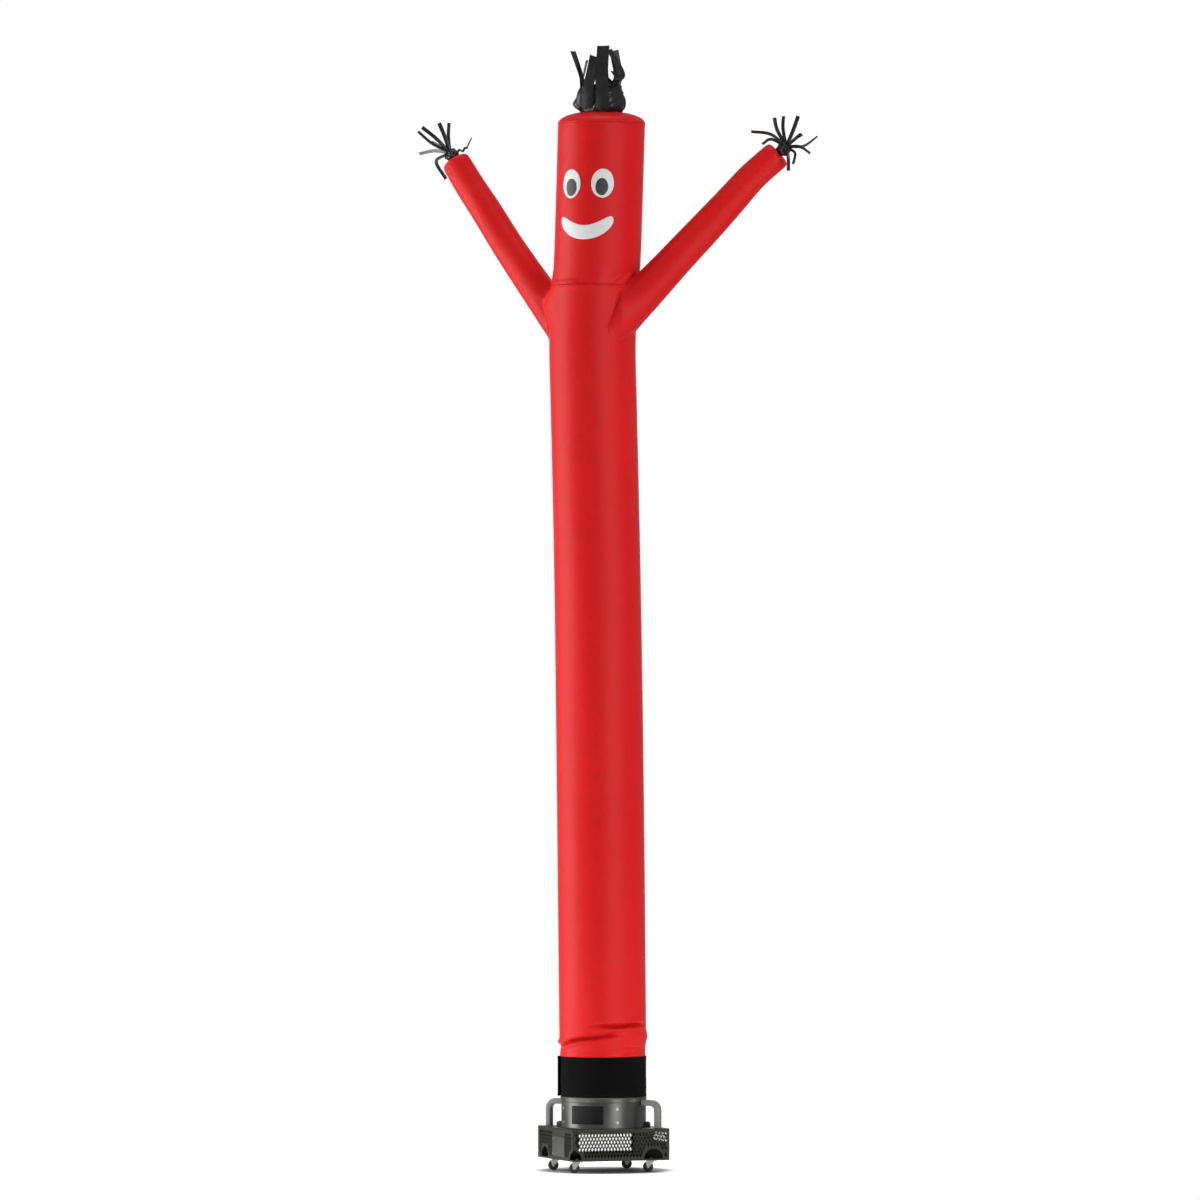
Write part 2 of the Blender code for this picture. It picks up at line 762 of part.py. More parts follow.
def make_drum():
    wall = profile_object([(DRUM_RADIUS, DRUM_TOP), (DRUM_RADIUS, BASE_TOP + GAP)], closed=False)
    screw(wall, DRUM_STEPS)
    solidify(wall, SHEET)
    place(wall, "drum", GREY_PAINT, 0.45, 0.4)
    inner = DRUM_RADIUS + GAP
    outer = DRUM_RADIUS + RING_PROUD
    ring = profile_object(
        [(inner, RING_TOP), (outer, RING_TOP), (outer, RING_BOTTOM), (inner, RING_BOTTOM)],
        closed=True,
    )
    screw(ring, DRUM_STEPS)
    place(ring, "drum_ring", GREY_PAINT, 0.45, 0.4)


def make_label():
    """The bare plate on the drum, a thin sheet bent to the drum's curve."""
    grid = []
    for height in LABEL_HEIGHTS:
        row = []
        for k in range(LABEL_STEPS + 1):
            turn = radians(LABEL_TURN + LABEL_ARC * (k / LABEL_STEPS - 0.5))
            radius = DRUM_RADIUS + 2 * GAP
            row.append(Vector((radius * sin(turn), -radius * cos(turn), height)))
        grid.append(row)
    patch_object(grid, "label_plate", BLACK_CLOTH)


def make_bolts():
    """Bolt heads on the flats of the drum."""
    number = 0
    for turn in BOLT_TURNS:
        for height in BOLT_HEIGHTS:
            number += 1
            lay_out = (
                Matrix.Translation((0.0, 0.0, height))
                @ Matrix.Rotation(radians(turn), 4, "Z")
                @ Matrix.Rotation(radians(90), 4, "X")
            )
            centre = (0.0, 0.0, DRUM_FLAT + GAP + BOLT_HEIGHT / 2)
            bolt = cylinder_object(BOLT_RADIUS, BOLT_HEIGHT, centre, 10, lay_out)
            place(bolt, f"drum_bolt_{number}", ZINC, 0.35, 0.9)


def plate_object(outlines, thickness):
    """A flat sheet from an outline and its holes, lying in XY and centred on its thickness."""
    curve = bpy.data.curves.new("plate", "CURVE")
    curve.dimensions = "2D"
    curve.fill_mode = "BOTH"
    curve.extrude = thickness / 2
    for points in outlines:
        line = curve.splines.new("POLY")
        line.points.add(len(points) - 1)
        for target, (x, y) in zip(line.points, points):
            target.co = (x, y, 0.0, 1.0)
        line.use_cyclic_u = True
    return bpy.data.objects.new("plate", curve)


def round_outline(radius, steps, centre=(0.0, 0.0)):
    return [
        (centre[0] + radius * cos(2 * pi * k / steps), centre[1] + radius * sin(2 * pi * k / steps))
        for k in range(steps)
    ]


def square_outline(half):
    return [(-half, -half), (half, -half), (half, half), (-half, half)]


def arc(centre_x, centre_z, radius, first, last, steps):
    """Points on an arc between two angles in degrees."""
    points = []
    for k in range(steps + 1):
        angle = radians(first + (last - first) * k / steps)
        points.append((centre_x + radius * cos(angle), centre_z + radius * sin(angle)))
    return points


def panel_outlines(half_width, arches, plain_corners, end_cuts, solid_span):
    """The sheet's outline with a quarter-round cut at an end, its half-round cut-outs, its diamonds."""
    low_cut, high_cut = end_cuts
    low, high = BASE_BOTTOM, BASE_TOP - SHEET - GAP
    sill = low + ARCH_SILL
    edge = [(-half_width, low), (half_width, low)]
    if high_cut:
        edge.append((half_width, sill))
        edge += arc(half_width, sill, high_cut, 180, 90, ARCH_STEPS // 2)
    edge += [(half_width, high), (-half_width, high)]
    if low_cut:
        edge += arc(-half_width, sill, low_cut, 90, 0, ARCH_STEPS // 2)
        edge.append((-half_width, sill))
    cuts = [(centre, ARCH_RADIUS) for centre in arches]
    outlines = [edge] + [arc(centre, sill, radius, 0, 180, ARCH_STEPS) for centre, radius in cuts]
    cuts += [(centre, ARCH_RADIUS) for centre in plain_corners]
    cuts += [(-half_width, low_cut), (half_width, high_cut)]
    wide, tall = HOLE_HALF
    for row in range(HOLE_ROWS):
        z = HOLE_MIDDLE_Z + HOLE_PITCH[1] * (row - (HOLE_ROWS - 1) / 2)
        columns = HOLE_COLUMNS - row % 2
        for column in range(columns):
            x = HOLE_PITCH[0] * (column - (columns - 1) / 2)
            near_cut = any(hypot(x - at, z - sill) < size + tall + HOLE_MARGIN for at, size in cuts)
            outside = abs(x) > half_width - wide - EDGE_MARGIN
            covered = solid_span is not None and solid_span[0] < x < solid_span[1]
            if not (near_cut or outside or covered):
                outlines.append([(x - wide, z), (x, z - tall), (x + wide, z), (x, z + tall)])
    return outlines


def make_base(blower):
    """The square base: a top, four perforated sides and the floor that holds the casters."""
    top = plate_object([square_outline(BASE_HALF), round_outline(INTAKE_RADIUS, DRUM_STEPS)], SHEET)
    place(top, "base_top", DARK_PAINT, 0.5, 0.3, blower)
    top.location = (0.0, 0.0, BASE_TOP - SHEET / 2)
    for name, turn, arches, plain_corners, end_cuts, solid_span in PANELS:
        full_width = turn % 180 == 0
        half_width = BASE_HALF if full_width else BASE_HALF - SHEET - GAP
        panel = plate_object(panel_outlines(half_width, arches, plain_corners, end_cuts, solid_span), SHEET)
        place(panel, name, DARK_PAINT, 0.5, 0.3, blower)
        upright = Matrix.Rotation(radians(turn), 4, "Z") @ Matrix.Rotation(radians(90), 4, "X")
        outwards = Matrix.Translation((0.0, 0.0, BASE_HALF - SHEET / 2))
        panel.matrix_local = upright @ outwards
    holes = [
        round_outline(STEM_RADIUS + GAP, 10, (u * CASTER_U, v * CASTER_V)) for _, u, v, _ in CASTERS
    ]
    outer = BASE_HALF - SHEET - GAP
    base_floor = plate_object([square_outline(outer), *holes], SHEET)
    place(base_floor, "base_frame", DARK_PAINT, 0.5, 0.3, blower)
    base_floor.location = (0.0, 0.0, BASE_BOTTOM + SHEET / 2)
    make_cover(blower)


def make_cover(blower):
    """The plain cover plate on the left side, with its two screws."""
    near, far = COVER_SPAN
    low, high = COVER_HEIGHTS
    face = -BASE_HALF - GAP
    size = (SHEET, far - near, high - low)
    centre = (face - SHEET / 2, -(near + far) / 2, (low + high) / 2)
    place(box_object(size, centre), "cover_plate", GREY_PAINT, 0.5, 0.3, blower)
    for number, height in enumerate((low + SCREW_INSET, high - SCREW_INSET)):
        lay_out = Matrix.Translation((face - SHEET - GAP, -near - SCREW_INSET, height))
        lay_out = lay_out @ Matrix.Rotation(radians(-90), 4, "Y")
        screw_head = cylinder_object(SCREW_RADIUS, 0.0025, (0.0, 0.0, 0.00125), 10, lay_out)
        place(screw_head, f"cover_screw_{number + 1}", ZINC, 0.35, 0.9, blower)


def rounded_section():
    """The handle's oval section, used as the bevel of its path."""
    wide, tall = HANDLE_SECTION
    curve = bpy.data.curves.new("handle_section", "CURVE")
    curve.dimensions = "2D"
    line = curve.splines.new("POLY")
    points = []
    for quarter in range(4):
        for k in range(3):
            angle = pi / 2 * (quarter + k / 2)
            x = (wide / 2 - HANDLE_CORNER) * (1 if quarter in (0, 3) else -1) + HANDLE_CORNER * cos(angle)
            y = (tall / 2 - HANDLE_CORNER) * (1 if quarter in (0, 1) else -1) + HANDLE_CORNER * sin(angle)
            points.append((x, y))
    line.points.add(len(points) - 1)
    for target, (x, y) in zip(line.points, reversed(points)):
        target.co = (x, y, 0.0, 1.0)
    line.use_cyclic_u = True
    return as_guide(bpy.data.objects.new("handle_section", curve), "handle_section")


def make_handles():
    """Each handle leaves the drum, bends down and stands on the base."""
    section = rounded_section()
    inner = DRUM_RADIUS + RING_PROUD + GAP
    corner_x = HANDLE_OUT - HANDLE_BEND
    corner_z = HANDLE_BAR_Z - HANDLE_BEND
    path = [(inner, HANDLE_BAR_Z)]
    path += arc(corner_x, corner_z, HANDLE_BEND, 90, 0, HANDLE_BEND_STEPS)
    path.append((HANDLE_OUT, BASE_TOP + GAP))
    for name, turn in HANDLE_TURNS.items():
        curve = bpy.data.curves.new(name, "CURVE")
        curve.dimensions = "3D"
        curve.twist_mode = "MINIMUM"
        curve.bevel_mode = "OBJECT"
        curve.bevel_object = section
        curve.use_fill_caps = True
        line = curve.splines.new("POLY")
        line.points.add(len(path) - 1)
        for target, (x, z) in zip(line.points, path):
            target.co = (x, 0.0, z, 1.0)
        handle = bpy.data.objects.new(name, curve)
        place(handle, name, GREY_PAINT, 0.5, 0.4)
        handle.rotation_euler = (0.0, 0.0, radians(turn))


def make_brackets():
    """Small blocks that hold the drum's foot on the base."""
    deep, wide, tall = BRACKET_SIZE
    for name, turn in BRACKET_TURNS.items():
        near = DRUM_RADIUS + GAP
        foot = box_object((deep, wide, tall), (near + deep / 2, 0.0, BASE_TOP + GAP + tall / 2))
        place(foot, name, GREY_PAINT, 0.5, 0.3)
        foot.rotation_euler = (0.0, 0.0, radians(turn))


def make_stem(name, parent):
    """The caster's fixed stem: nut, shaft, race under the floor and rivet head under the crown."""
    nut_bottom = BASE_BOTTOM + SHEET + GAP
    race_top = BASE_BOTTOM - GAP
    profile = [
        (0.0, nut_bottom + 0.010),
        (0.0060, nut_bottom + 0.010),
        (0.0085, nut_bottom + 0.006),
        (0.0085, nut_bottom),
        (STEM_RADIUS, nut_bottom),
        (STEM_RADIUS, race_top),
        (0.0130, race_top),
        (0.0130, CROWN_TOP + RUNNING_CLEARANCE),
        (STEM_RADIUS, CROWN_TOP + RUNNING_CLEARANCE),
        (STEM_RADIUS, CROWN_BOTTOM - RUNNING_CLEARANCE),
        (0.0062, CROWN_BOTTOM - RUNNING_CLEARANCE),
        (0.0050, CROWN_BOTTOM - 0.0018),
        (0.0, CROWN_BOTTOM - 0.0018),
    ]
    stem = profile_object(profile, closed=False)
    screw(stem, STEM_STEPS)
    place(stem, f"caster_stem_{name}", ZINC, 0.3, 0.9, parent)


def make_fork(name, parent, brake):
    """The fork: a crown plate round the stem, two legs and the axle between them."""
    outer = FORK_INNER_HALF + FORK_THICKNESS
    crown = box_object(
        (0.044, 2 * outer, CROWN_TOP - CROWN_BOTTOM),
        (CASTER_TRAIL * 0.30, 0.0, (CROWN_TOP + CROWN_BOTTOM) / 2),
    )
    place(crown, f"caster_fork_{name}", ZINC, 0.3, 0.9, parent)
    pieces = []
    leg = [
        (-0.0175, CROWN_TOP - 0.0002),
        (CASTER_TRAIL - 0.0070, AXLE_Z - 0.0030),
        (CASTER_TRAIL, AXLE_Z - 0.0080),
        (CASTER_TRAIL + 0.0070, AXLE_Z - 0.0030),
        (CASTER_TRAIL + 0.0110, CROWN_TOP - 0.0002),
    ]
    for side in (-1, 1):
        bm = bmesh.new()
        corners = [bm.verts.new((x, side * FORK_INNER_HALF, z)) for x, z in leg]
        face = bm.faces.new(corners)
        pushed = bmesh.ops.extrude_face_region(bm, geom=[face])
        moved = [item for item in pushed["geom"] if isinstance(item, bmesh.types.BMVert)]
        bmesh.ops.translate(bm, vec=(0.0, side * (FORK_THICKNESS - 0.0001), 0.0), verts=moved)
        pieces.append(object_from_bmesh(bm))
    lie_across = Matrix.Translation((CASTER_TRAIL, 0.0, AXLE_Z)) @ Matrix.Rotation(pi / 2, 4, "X")
    pieces.append(cylinder_object(AXLE_RADIUS, 2 * outer + 0.004, (0.0, 0.0, 0.0), AXLE_STEPS, lie_across))
    if brake:
        tab = box_object((0.016, 0.014, 0.0020), (0.0, 0.0, 0.0))
        tab.data.transform(Matrix.Translation((-0.0235, 0.0, 0.0592)) @ Matrix.Rotation(radians(-16), 4, "Y"))
        pieces.append(tab)
    for number, piece in enumerate(pieces):
        as_guide(piece, f"fork_piece_{name}_{number + 1}", parent)
        boolean(crown, piece, "UNION")
    hole = cylinder_object(STEM_RADIUS + RUNNING_CLEARANCE, 0.02, (0.0, 0.0, CROWN_TOP), 10)
    as_guide(hole, f"fork_hole_{name}", parent)
    boolean(crown, hole, "DIFFERENCE")


def make_wheel(name, parent):
    """The wheel: a hub, a sunk disc on each side and a tread, with a flat of it on the floor."""
    bore = AXLE_RADIUS + 0.0004
    half = WHEEL_HALF_WIDTH
    hub = 0.0085
    sunk = half - 0.0015
    tread = half - 0.0025
    profile = [
        (bore, half),
        (hub, half),
        (WHEEL_RADIUS - 0.0080, sunk),
        (WHEEL_RADIUS - 0.0015, half),
        (WHEEL_RADIUS, tread),
        (WHEEL_RADIUS, -tread),
        (WHEEL_RADIUS - 0.0015, -half),
        (WHEEL_RADIUS - 0.0080, -sunk),
        (hub, -half),
        (bore, -half),
    ]
    wheel = profile_object(profile, closed=True)
    screw(wheel, WHEEL_STEPS)
    place(wheel, f"caster_wheel_{name}", BLACK_RUBBER, 0.6, 0.0, parent)
    wheel.matrix_local = (
        Matrix.Translation((CASTER_TRAIL, 0.0, AXLE_Z))
        @ Matrix.Rotation(pi / 2, 4, "X")
        @ Matrix.Rotation(pi / 2 + pi / WHEEL_STEPS, 4, "Z")
    )


def make_casters():
    """Four swivel casters. Each swivel empty stands on its joint's axis, +X towards the wheel."""
    turned = Matrix.Rotation(radians(BLOWER_TURN), 4, "Z")
    for name, u_side, v_side, brake in CASTERS:
        centre = turned @ Vector((u_side * CASTER_U, v_side * CASTER_V, 0.0))
        swivel = empty_at(f"swivel_{name}", centre, CASTER_TRAIL_ANGLE)
        make_stem(name, swivel)
        make_fork(name, swivel, brake)
        make_wheel(name, swivel)


def main():
    make_body()
    make_head()
    block = skin_block()
    left_hand = make_arm("arm_left", LEFT_ARM, block)
    right_hand = make_arm("arm_right", RIGHT_ARM, block)
    make_hand_tassel("hand_tassel_left", left_hand, LEFT_STRIPS)
    make_hand_tassel("hand_tassel_right", right_hand, RIGHT_STRIPS)
    make_hair()
    make_face()
    make_sleeve()
    make_drum()
    make_label()
    make_bolts()
    make_handles()
    make_brackets()
    blower = empty_at("blower", (0.0, 0.0, 0.0), BLOWER_TURN)
    make_base(blower)
    make_casters()


main()
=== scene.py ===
"""The looks of the inflatable air dancer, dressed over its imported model.

Metres, +Z up, in the model's own frame. The origin is on the floor under the middle of the blower. The
dancer faces -Y and its arms go out along -X and +X. A turn is measured round the upright tube from -Y
towards +X, in degrees.
"""

from math import atan, cos, degrees, exp, hypot, pi, radians, sin, sqrt

import bmesh
import bpy
from mathutils import Matrix, Vector, noise


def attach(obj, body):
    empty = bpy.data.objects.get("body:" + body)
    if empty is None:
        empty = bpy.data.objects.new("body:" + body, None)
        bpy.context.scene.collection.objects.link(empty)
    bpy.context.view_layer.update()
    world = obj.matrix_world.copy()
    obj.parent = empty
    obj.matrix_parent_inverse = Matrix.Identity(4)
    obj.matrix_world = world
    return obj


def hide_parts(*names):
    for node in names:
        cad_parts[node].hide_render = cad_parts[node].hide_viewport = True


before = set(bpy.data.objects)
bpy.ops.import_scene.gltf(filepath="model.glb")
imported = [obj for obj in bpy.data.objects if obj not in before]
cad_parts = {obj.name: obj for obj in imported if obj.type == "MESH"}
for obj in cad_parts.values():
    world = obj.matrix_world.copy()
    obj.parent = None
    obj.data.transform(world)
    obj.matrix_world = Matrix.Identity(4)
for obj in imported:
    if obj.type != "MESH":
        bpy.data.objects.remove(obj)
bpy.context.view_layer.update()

# Camera: a long lens from a little to the dancer's left, so that the verticals stay upright
CAMERA_DISTANCE = 50.0
CAMERA_HEIGHT = 2.8
CAMERA_TURN = 16.0
FOCAL_PIXELS = 9398.0
IMAGE_PIXELS = 1200
SENSOR = 0.036
FLOOR_ROW = 1171
MIDDLE_COLUMN_SHIFT = 3.5

# The painted shadow on the floor under the blower: its middle, and how far from there it begins and ends to
# fade
SHADE_MIDDLE = (-0.02, 0.07, 0.0)
SHADE_EDGE = (0.315, 0.395)

LIGHTS = (
    # name, turn from the camera's, distance, height, width, height of the box, power, height aimed at
    ("key", -93, 5.0, 3.2, 2.4, 8.0, 370, 3.0),
    ("fill", 36, 5.5, 3.2, 2.2, 8.0, 225, 3.0),
    ("back", 180, 8.0, 4.0, 5.0, 6.0, 160, 2.6),
    ("low_left", -47, 2.5, 0.34, 1.2, 0.5, 8.0, 0.34),
    ("low_right", 86, 2.5, 0.34, 0.9, 0.5, 3.6, 0.34),
    ("overhead", -16, 0.01, 24.0, 9.0, 9.0, 1250, None),
)

CLOTHS = {
    # slot: name, colour, dark, light, roughness, pitch of the threads, depth of the weave, other sockets
    "red_cloth": (
        "red_nylon", (0.70, 0.0105, 0.0125), (0.66, 0.0096, 0.0115), (0.72, 0.0112, 0.0132),
        0.40, 0.0016, 0.25, {"Sheen_Weight": 0.01, "Sheen_Roughness": 0.4, "Specular_IOR_Level": 0.16},
    ),
    "black_cloth": (
        "black_nylon", (0.010, 0.010, 0.011), (0.007, 0.007, 0.0075), (0.014, 0.014, 0.015),
        0.32, 0.0014, 0.25, {"Sheen_Weight": 0.01, "Sheen_Roughness": 0.4, "Specular_IOR_Level": 0.50},
    ),
    # A light grey cloth for one tassel strip, which stands in for the sheen on black cloth: painted sheen
    "sheen_painted_strip": (
        "sheen_painted_nylon", (0.20, 0.20, 0.20), (0.16, 0.16, 0.16), (0.24, 0.24, 0.24), 0.42, 0.0014, 0.25, {},
    ),
    "sleeve_cloth": (
        "sleeve_canvas", (0.003, 0.003, 0.0032), (0.0022, 0.0022, 0.0024), (0.0042, 0.0042, 0.0045),
        0.8, 0.0022, 0.6, {"Specular_IOR_Level": 0.06},
    ),
    "white_cloth": (
        "white_nylon", (0.80, 0.80, 0.80), (0.76, 0.76, 0.77), (0.84, 0.84, 0.84),
        0.48, 0.0016, 0.2, {"Sheen_Weight": 0.05},
    ),
    "dark_patch": (
        "pupil_nylon", (0.034, 0.038, 0.040), (0.028, 0.032, 0.034), (0.040, 0.044, 0.047),
        0.45, 0.0016, 0.2, {},
    ),
}
PAINTS = {
    # slot: name, colour, dark, light, roughness, depth of the orange peel, metallic, other sockets
    "grey_paint": (
        "grey_coating", (0.098, 0.098, 0.096), (0.084, 0.084, 0.082), (0.112, 0.112, 0.110),
        0.34, 0.10, 0.82, {"Specular_IOR_Level": 0.25},
    ),
    "handle_paint": (
        "handle_coating", (0.19, 0.19, 0.185), (0.165, 0.165, 0.16), (0.22, 0.22, 0.214), 0.42, 0.10, 0.1, {},
    ),
    "dark_paint": (
        "dark_coating", (0.021, 0.021, 0.019), (0.017, 0.017, 0.015), (0.028, 0.028, 0.025),
        0.50, 0.10, 0.1, {"Specular_IOR_Level": 0.2},
    ),
    # A darker copy of the base's dark paint without reflections, for the inside of the base: painted shade
    "shaded_inner_paint": (
        "shaded_inner_coating", (0.012, 0.012, 0.011), (0.009, 0.009, 0.008), (0.016, 0.016, 0.015),
        0.88, 0.10, 0.0, {"Specular_IOR_Level": 0.0},
    ),
    "bare_plate": (
        "label_film", (0.005, 0.005, 0.005), (0.004, 0.004, 0.004), (0.007, 0.007, 0.007),
        0.45, 0.05, 0.0, {"Specular_IOR_Level": 0.15},
    ),
}

# Cloth thicknesses and the small gaps between pieces
GAP = 0.0003
CLOTH = 0.0010
PATCH = 0.0009
FACE_GAP = 0.0004

# Seams
SEAM_TURN = 173
SEAM_STEP = 0.02
STITCH_PITCH = 0.0060
STITCH_LENGTH = 0.0044
STITCH_LIFT = 0.0006
THREAD = 0.0008
WELT_SECTION = (
    # share of the half width, share of the thickness
    (1.0, 0.0),
    (0.86, 0.8),
    (0.0, 1.0),
    (-0.86, 0.8),
    (-1.0, 0.0),
    (0.0, -0.5),
)

# Fabric tube
TUBE_COLUMNS = 144
TUBE_RADIUS = 0.231
HEM_Z = 0.6125
NECK_Z = 4.710
RIM_Z = 5.570
NECK_GAP = 0.0008

CENTRE_LINE = (
    # height, side
    (0.30, -0.003),
    (0.90, -0.006),
    (1.97, -0.017),
    (3.04, -0.030),
    (4.10, -0.055),
    (4.36, -0.061),
    (4.60, -0.057),
    (4.71, -0.048),
    (4.82, -0.036),
    (5.17, -0.024),
    (5.60, -0.012),
)
TUBE_RADII = (
    # height, radius
    (0.30, 0.2275),
    (0.64, 0.2265),
    (0.70, 0.2300),
    (0.90, 0.2310),
    (6.00, 0.2310),
)

# The main troughs and bulges. The line of each rises by its slope for every radian of turn.
FOLDS = (
    # height, turn, slope, reach, width, depth
    (0.708, -20, 0.034, 62, 0.013, -0.012),
    (0.735, 20, 0.020, 30, 0.012, -0.008),
    (0.784, 48, 0.004, 52, 0.012, -0.014),
    (0.662, -62, 0.010, 34, 0.014, -0.006),
    (0.688, -80, 0.000, 30, 0.012, 0.011),
    (0.722, 98, -0.010, 60, 0.026, 0.008),
    (0.700, 170, 0.020, 66, 0.014, -0.010),
    (0.765, -140, -0.018, 60, 0.014, -0.011),
    (4.706, 0, 0.000, 400, 0.014, -0.003),
    (4.722, -34, 0.012, 30, 0.012, 0.008),
    (4.755, 46, 0.070, 24, 0.020, -0.007),
    (4.605, -88, 0.000, 52, 0.080, 0.037),
    (4.585, 84, 0.000, 46, 0.085, 0.012),
    (4.560, 62, 0.000, 30, 0.075, 0.010),
)

# Sharp creases along the folds: each falls in quickly above its line and comes out slowly below it
CREASES = (
    # height, turn, slope, reach, width above, width below, depth, wobble
    (0.703, -24, 0.034, 58, 0.0036, 0.0120, -0.0245, 0.0030),
    (0.683, -26, 0.034, 46, 0.0070, 0.0110, 0.0075, 0.0030),
    (0.722, 12, 0.022, 34, 0.0045, 0.0130, -0.0145, 0.0020),
    (0.781, 50, 0.004, 54, 0.0036, 0.0105, -0.0250, 0.0034),
    (0.763, 52, 0.004, 44, 0.0070, 0.0110, 0.0060, 0.0034),
    (0.797, 50, 0.004, 46, 0.0120, 0.0080, 0.0055, 0.0034),
    (0.717, -26, 0.034, 46, 0.0120, 0.0070, 0.0050, 0.0030),
    (0.669, -30, 0.045, 26, 0.0040, 0.0090, -0.0035, 0.0010),
    (0.648, -2, 0.020, 30, 0.0060, 0.0090, -0.0018, 0.0010),
    (0.664, 70, -0.020, 40, 0.0050, 0.0100, -0.0026, 0.0014),
    (0.697, 168, 0.022, 58, 0.0045, 0.0130, -0.0120, 0.0030),
    (0.762, -142, -0.018, 54, 0.0045, 0.0130, -0.0120, 0.0026),
    (0.648, -160, 0.010, 44, 0.0050, 0.0100, -0.0030, 0.0016),
    (4.716, 0, 0.000, 400, 0.0180, 0.0060, -0.0020, 0.0010),
    (4.740, -10, 0.010, 34, 0.0260, 0.0140, -0.0045, 0.0020),
    (4.701, 2, 0.000, 64, 0.0060, 0.0200, 0.0085, 0.0010),
    (4.733, -42, -0.110, 16, 0.0050, 0.0060, -0.0040, 0.0006),
    (4.700, -70, 0.060, 26, 0.0060, 0.0120, -0.0050, 0.0014),
    (4.744, 54, 0.150, 20, 0.0070, 0.0140, -0.0070, 0.0014),
    (4.716, 178, 0.004, 60, 0.0160, 0.0060, -0.0040, 0.0026),
    (4.684, 150, 0.030, 36, 0.0060, 0.0120, -0.0030, 0.0016),
)

# Slow unevenness of the inflated tube
SLOW_WAVES = (
    # waves round, turn per metre of height, phase, size
    (2, 0.80, 1.30, 0.0011),
    (3, -0.55, 2.20, 0.0010),
    (5, 1.70, 4.40, 0.0005),
)

# Heights between which the cloth is divided finely or coarsely
BODY_ZONES = (
    # from, to, step
    (HEM_Z, 0.860, 0.0026),
    (0.860, 4.260, 0.0450),
    (4.260, 4.560, 0.0100),
    (4.560, NECK_Z - NECK_GAP / 2, 0.0035),
)
HEAD_ZONES = (
    (NECK_Z + NECK_GAP / 2, 4.850, 0.0035),
    (4.850, 5.480, 0.0210),
    (5.480, RIM_Z, 0.0060),
)

CROWN_X = -0.0125
CROWN_PROFILE = (
    # distance along the cloth from the rim, radius, height above the rim
    (0.000, 0.2310, 0.0004),
    (0.007, 0.2310, 0.0070),
    (0.023, 0.2230, 0.0210),
    (0.044, 0.2060, 0.0340),
    (0.072, 0.1800, 0.0450),
    (0.112, 0.1420, 0.0555),
    (0.155, 0.1000, 0.0625),
)

# Arms
ARM_COLUMNS = 72
ARM_TIP_RADII = (
    # distance before the end, share of the hand radius
    (0.0000, 0.30),
    (0.0004, 0.55),
    (0.0020, 0.80),
    (0.0060, 0.885),
    (0.0120, 0.950),
    (0.0220, 0.985),
    (0.0320, 1.000),
)
ARMS = {
    "left": (
        # side, back, up, radius
        (-0.198, 0.015, 4.434, 0.0900),
        (-0.308, 0.035, 4.591, 0.0910),
        (-0.451, 0.070, 4.787, 0.0900),
        (-0.579, 0.105, 4.959, 0.0855),
        (-0.700, 0.140, 5.132, 0.0815),
        (-0.792, 0.165, 5.261, 0.0790),
        (-0.884, 0.188, 5.397, 0.0775),
    ),
    "right": (
        # side, back, up, radius
        (0.062, -0.045, 4.468, 0.0930),
        (0.194, -0.035, 4.610, 0.0940),
        (0.386, -0.020, 4.821, 0.0920),
        (0.544, -0.005, 4.989, 0.0875),
        (0.701, 0.010, 5.157, 0.0820),
        (0.819, 0.020, 5.282, 0.0790),
        (0.957, 0.030, 5.402, 0.0775),
    ),
}
ARM_HOLES = {
    # turn, height
    "left": (-98, 4.575),
    "right": (82, 4.575),
}
ARM_HOLE_HALF = (0.056, 0.094)
ARM_TUCK = 0.0035
ARM_RADIUS = 0.088
HAND_REACH = 0.12
ARM_ROWS = 96
ARM_FLARES = {
    # angle round the arm, size, reach
    "left": (150, 0.010, 0.030),
    "right": (76, 0.046, 0.062),
}

# Face
FACE_TURN = -2.4
EYES = (
    # side, turn from the face's middle, height, half width, half height, pupil shift, pupil drop
    ("left", -21.9, 5.2435, 0.0585, 0.0770, 0.003, 0.0190),
    ("right", 22.6, 5.2445, 0.0610, 0.0770, -0.004, 0.0185),
)
PUPIL_HALF = (0.0335, 0.0455)
EYE_SEWN = 0.90
SMILE_SEWN = (0.93, 0.86)
SMILE_HALF_WIDTH = 0.1540
SMILE_LOW_Z = 4.9855
SMILE_RISE = 0.0730
SMILE_HALF_THICKNESS = 0.0375

# Hair
HAIR_SEAT = 5.6328
HAIR_RADIUS = 0.112
HAIR_SECTION = (
    # distance along the cloth, outward from the ring's radius, height above the seat
    (0.000, 0.000, 0.000),
    (0.048, 0.016, 0.045),
    (0.098, 0.012, 0.095),
    (0.141, -0.006, 0.134),
    (0.158, -0.016, 0.142),
    (0.172, -0.026, 0.134),
    (0.215, -0.012, 0.092),
    (0.265, 0.004, 0.045),
    (0.312, -0.010, 0.000),
)
HAIR_CRUMPLES = (
    # waves round the ring, phase, size
    (5, 0.6, 0.0060),
    (8, 2.1, 0.0045),
    (3, 4.0, 0.0050),
)
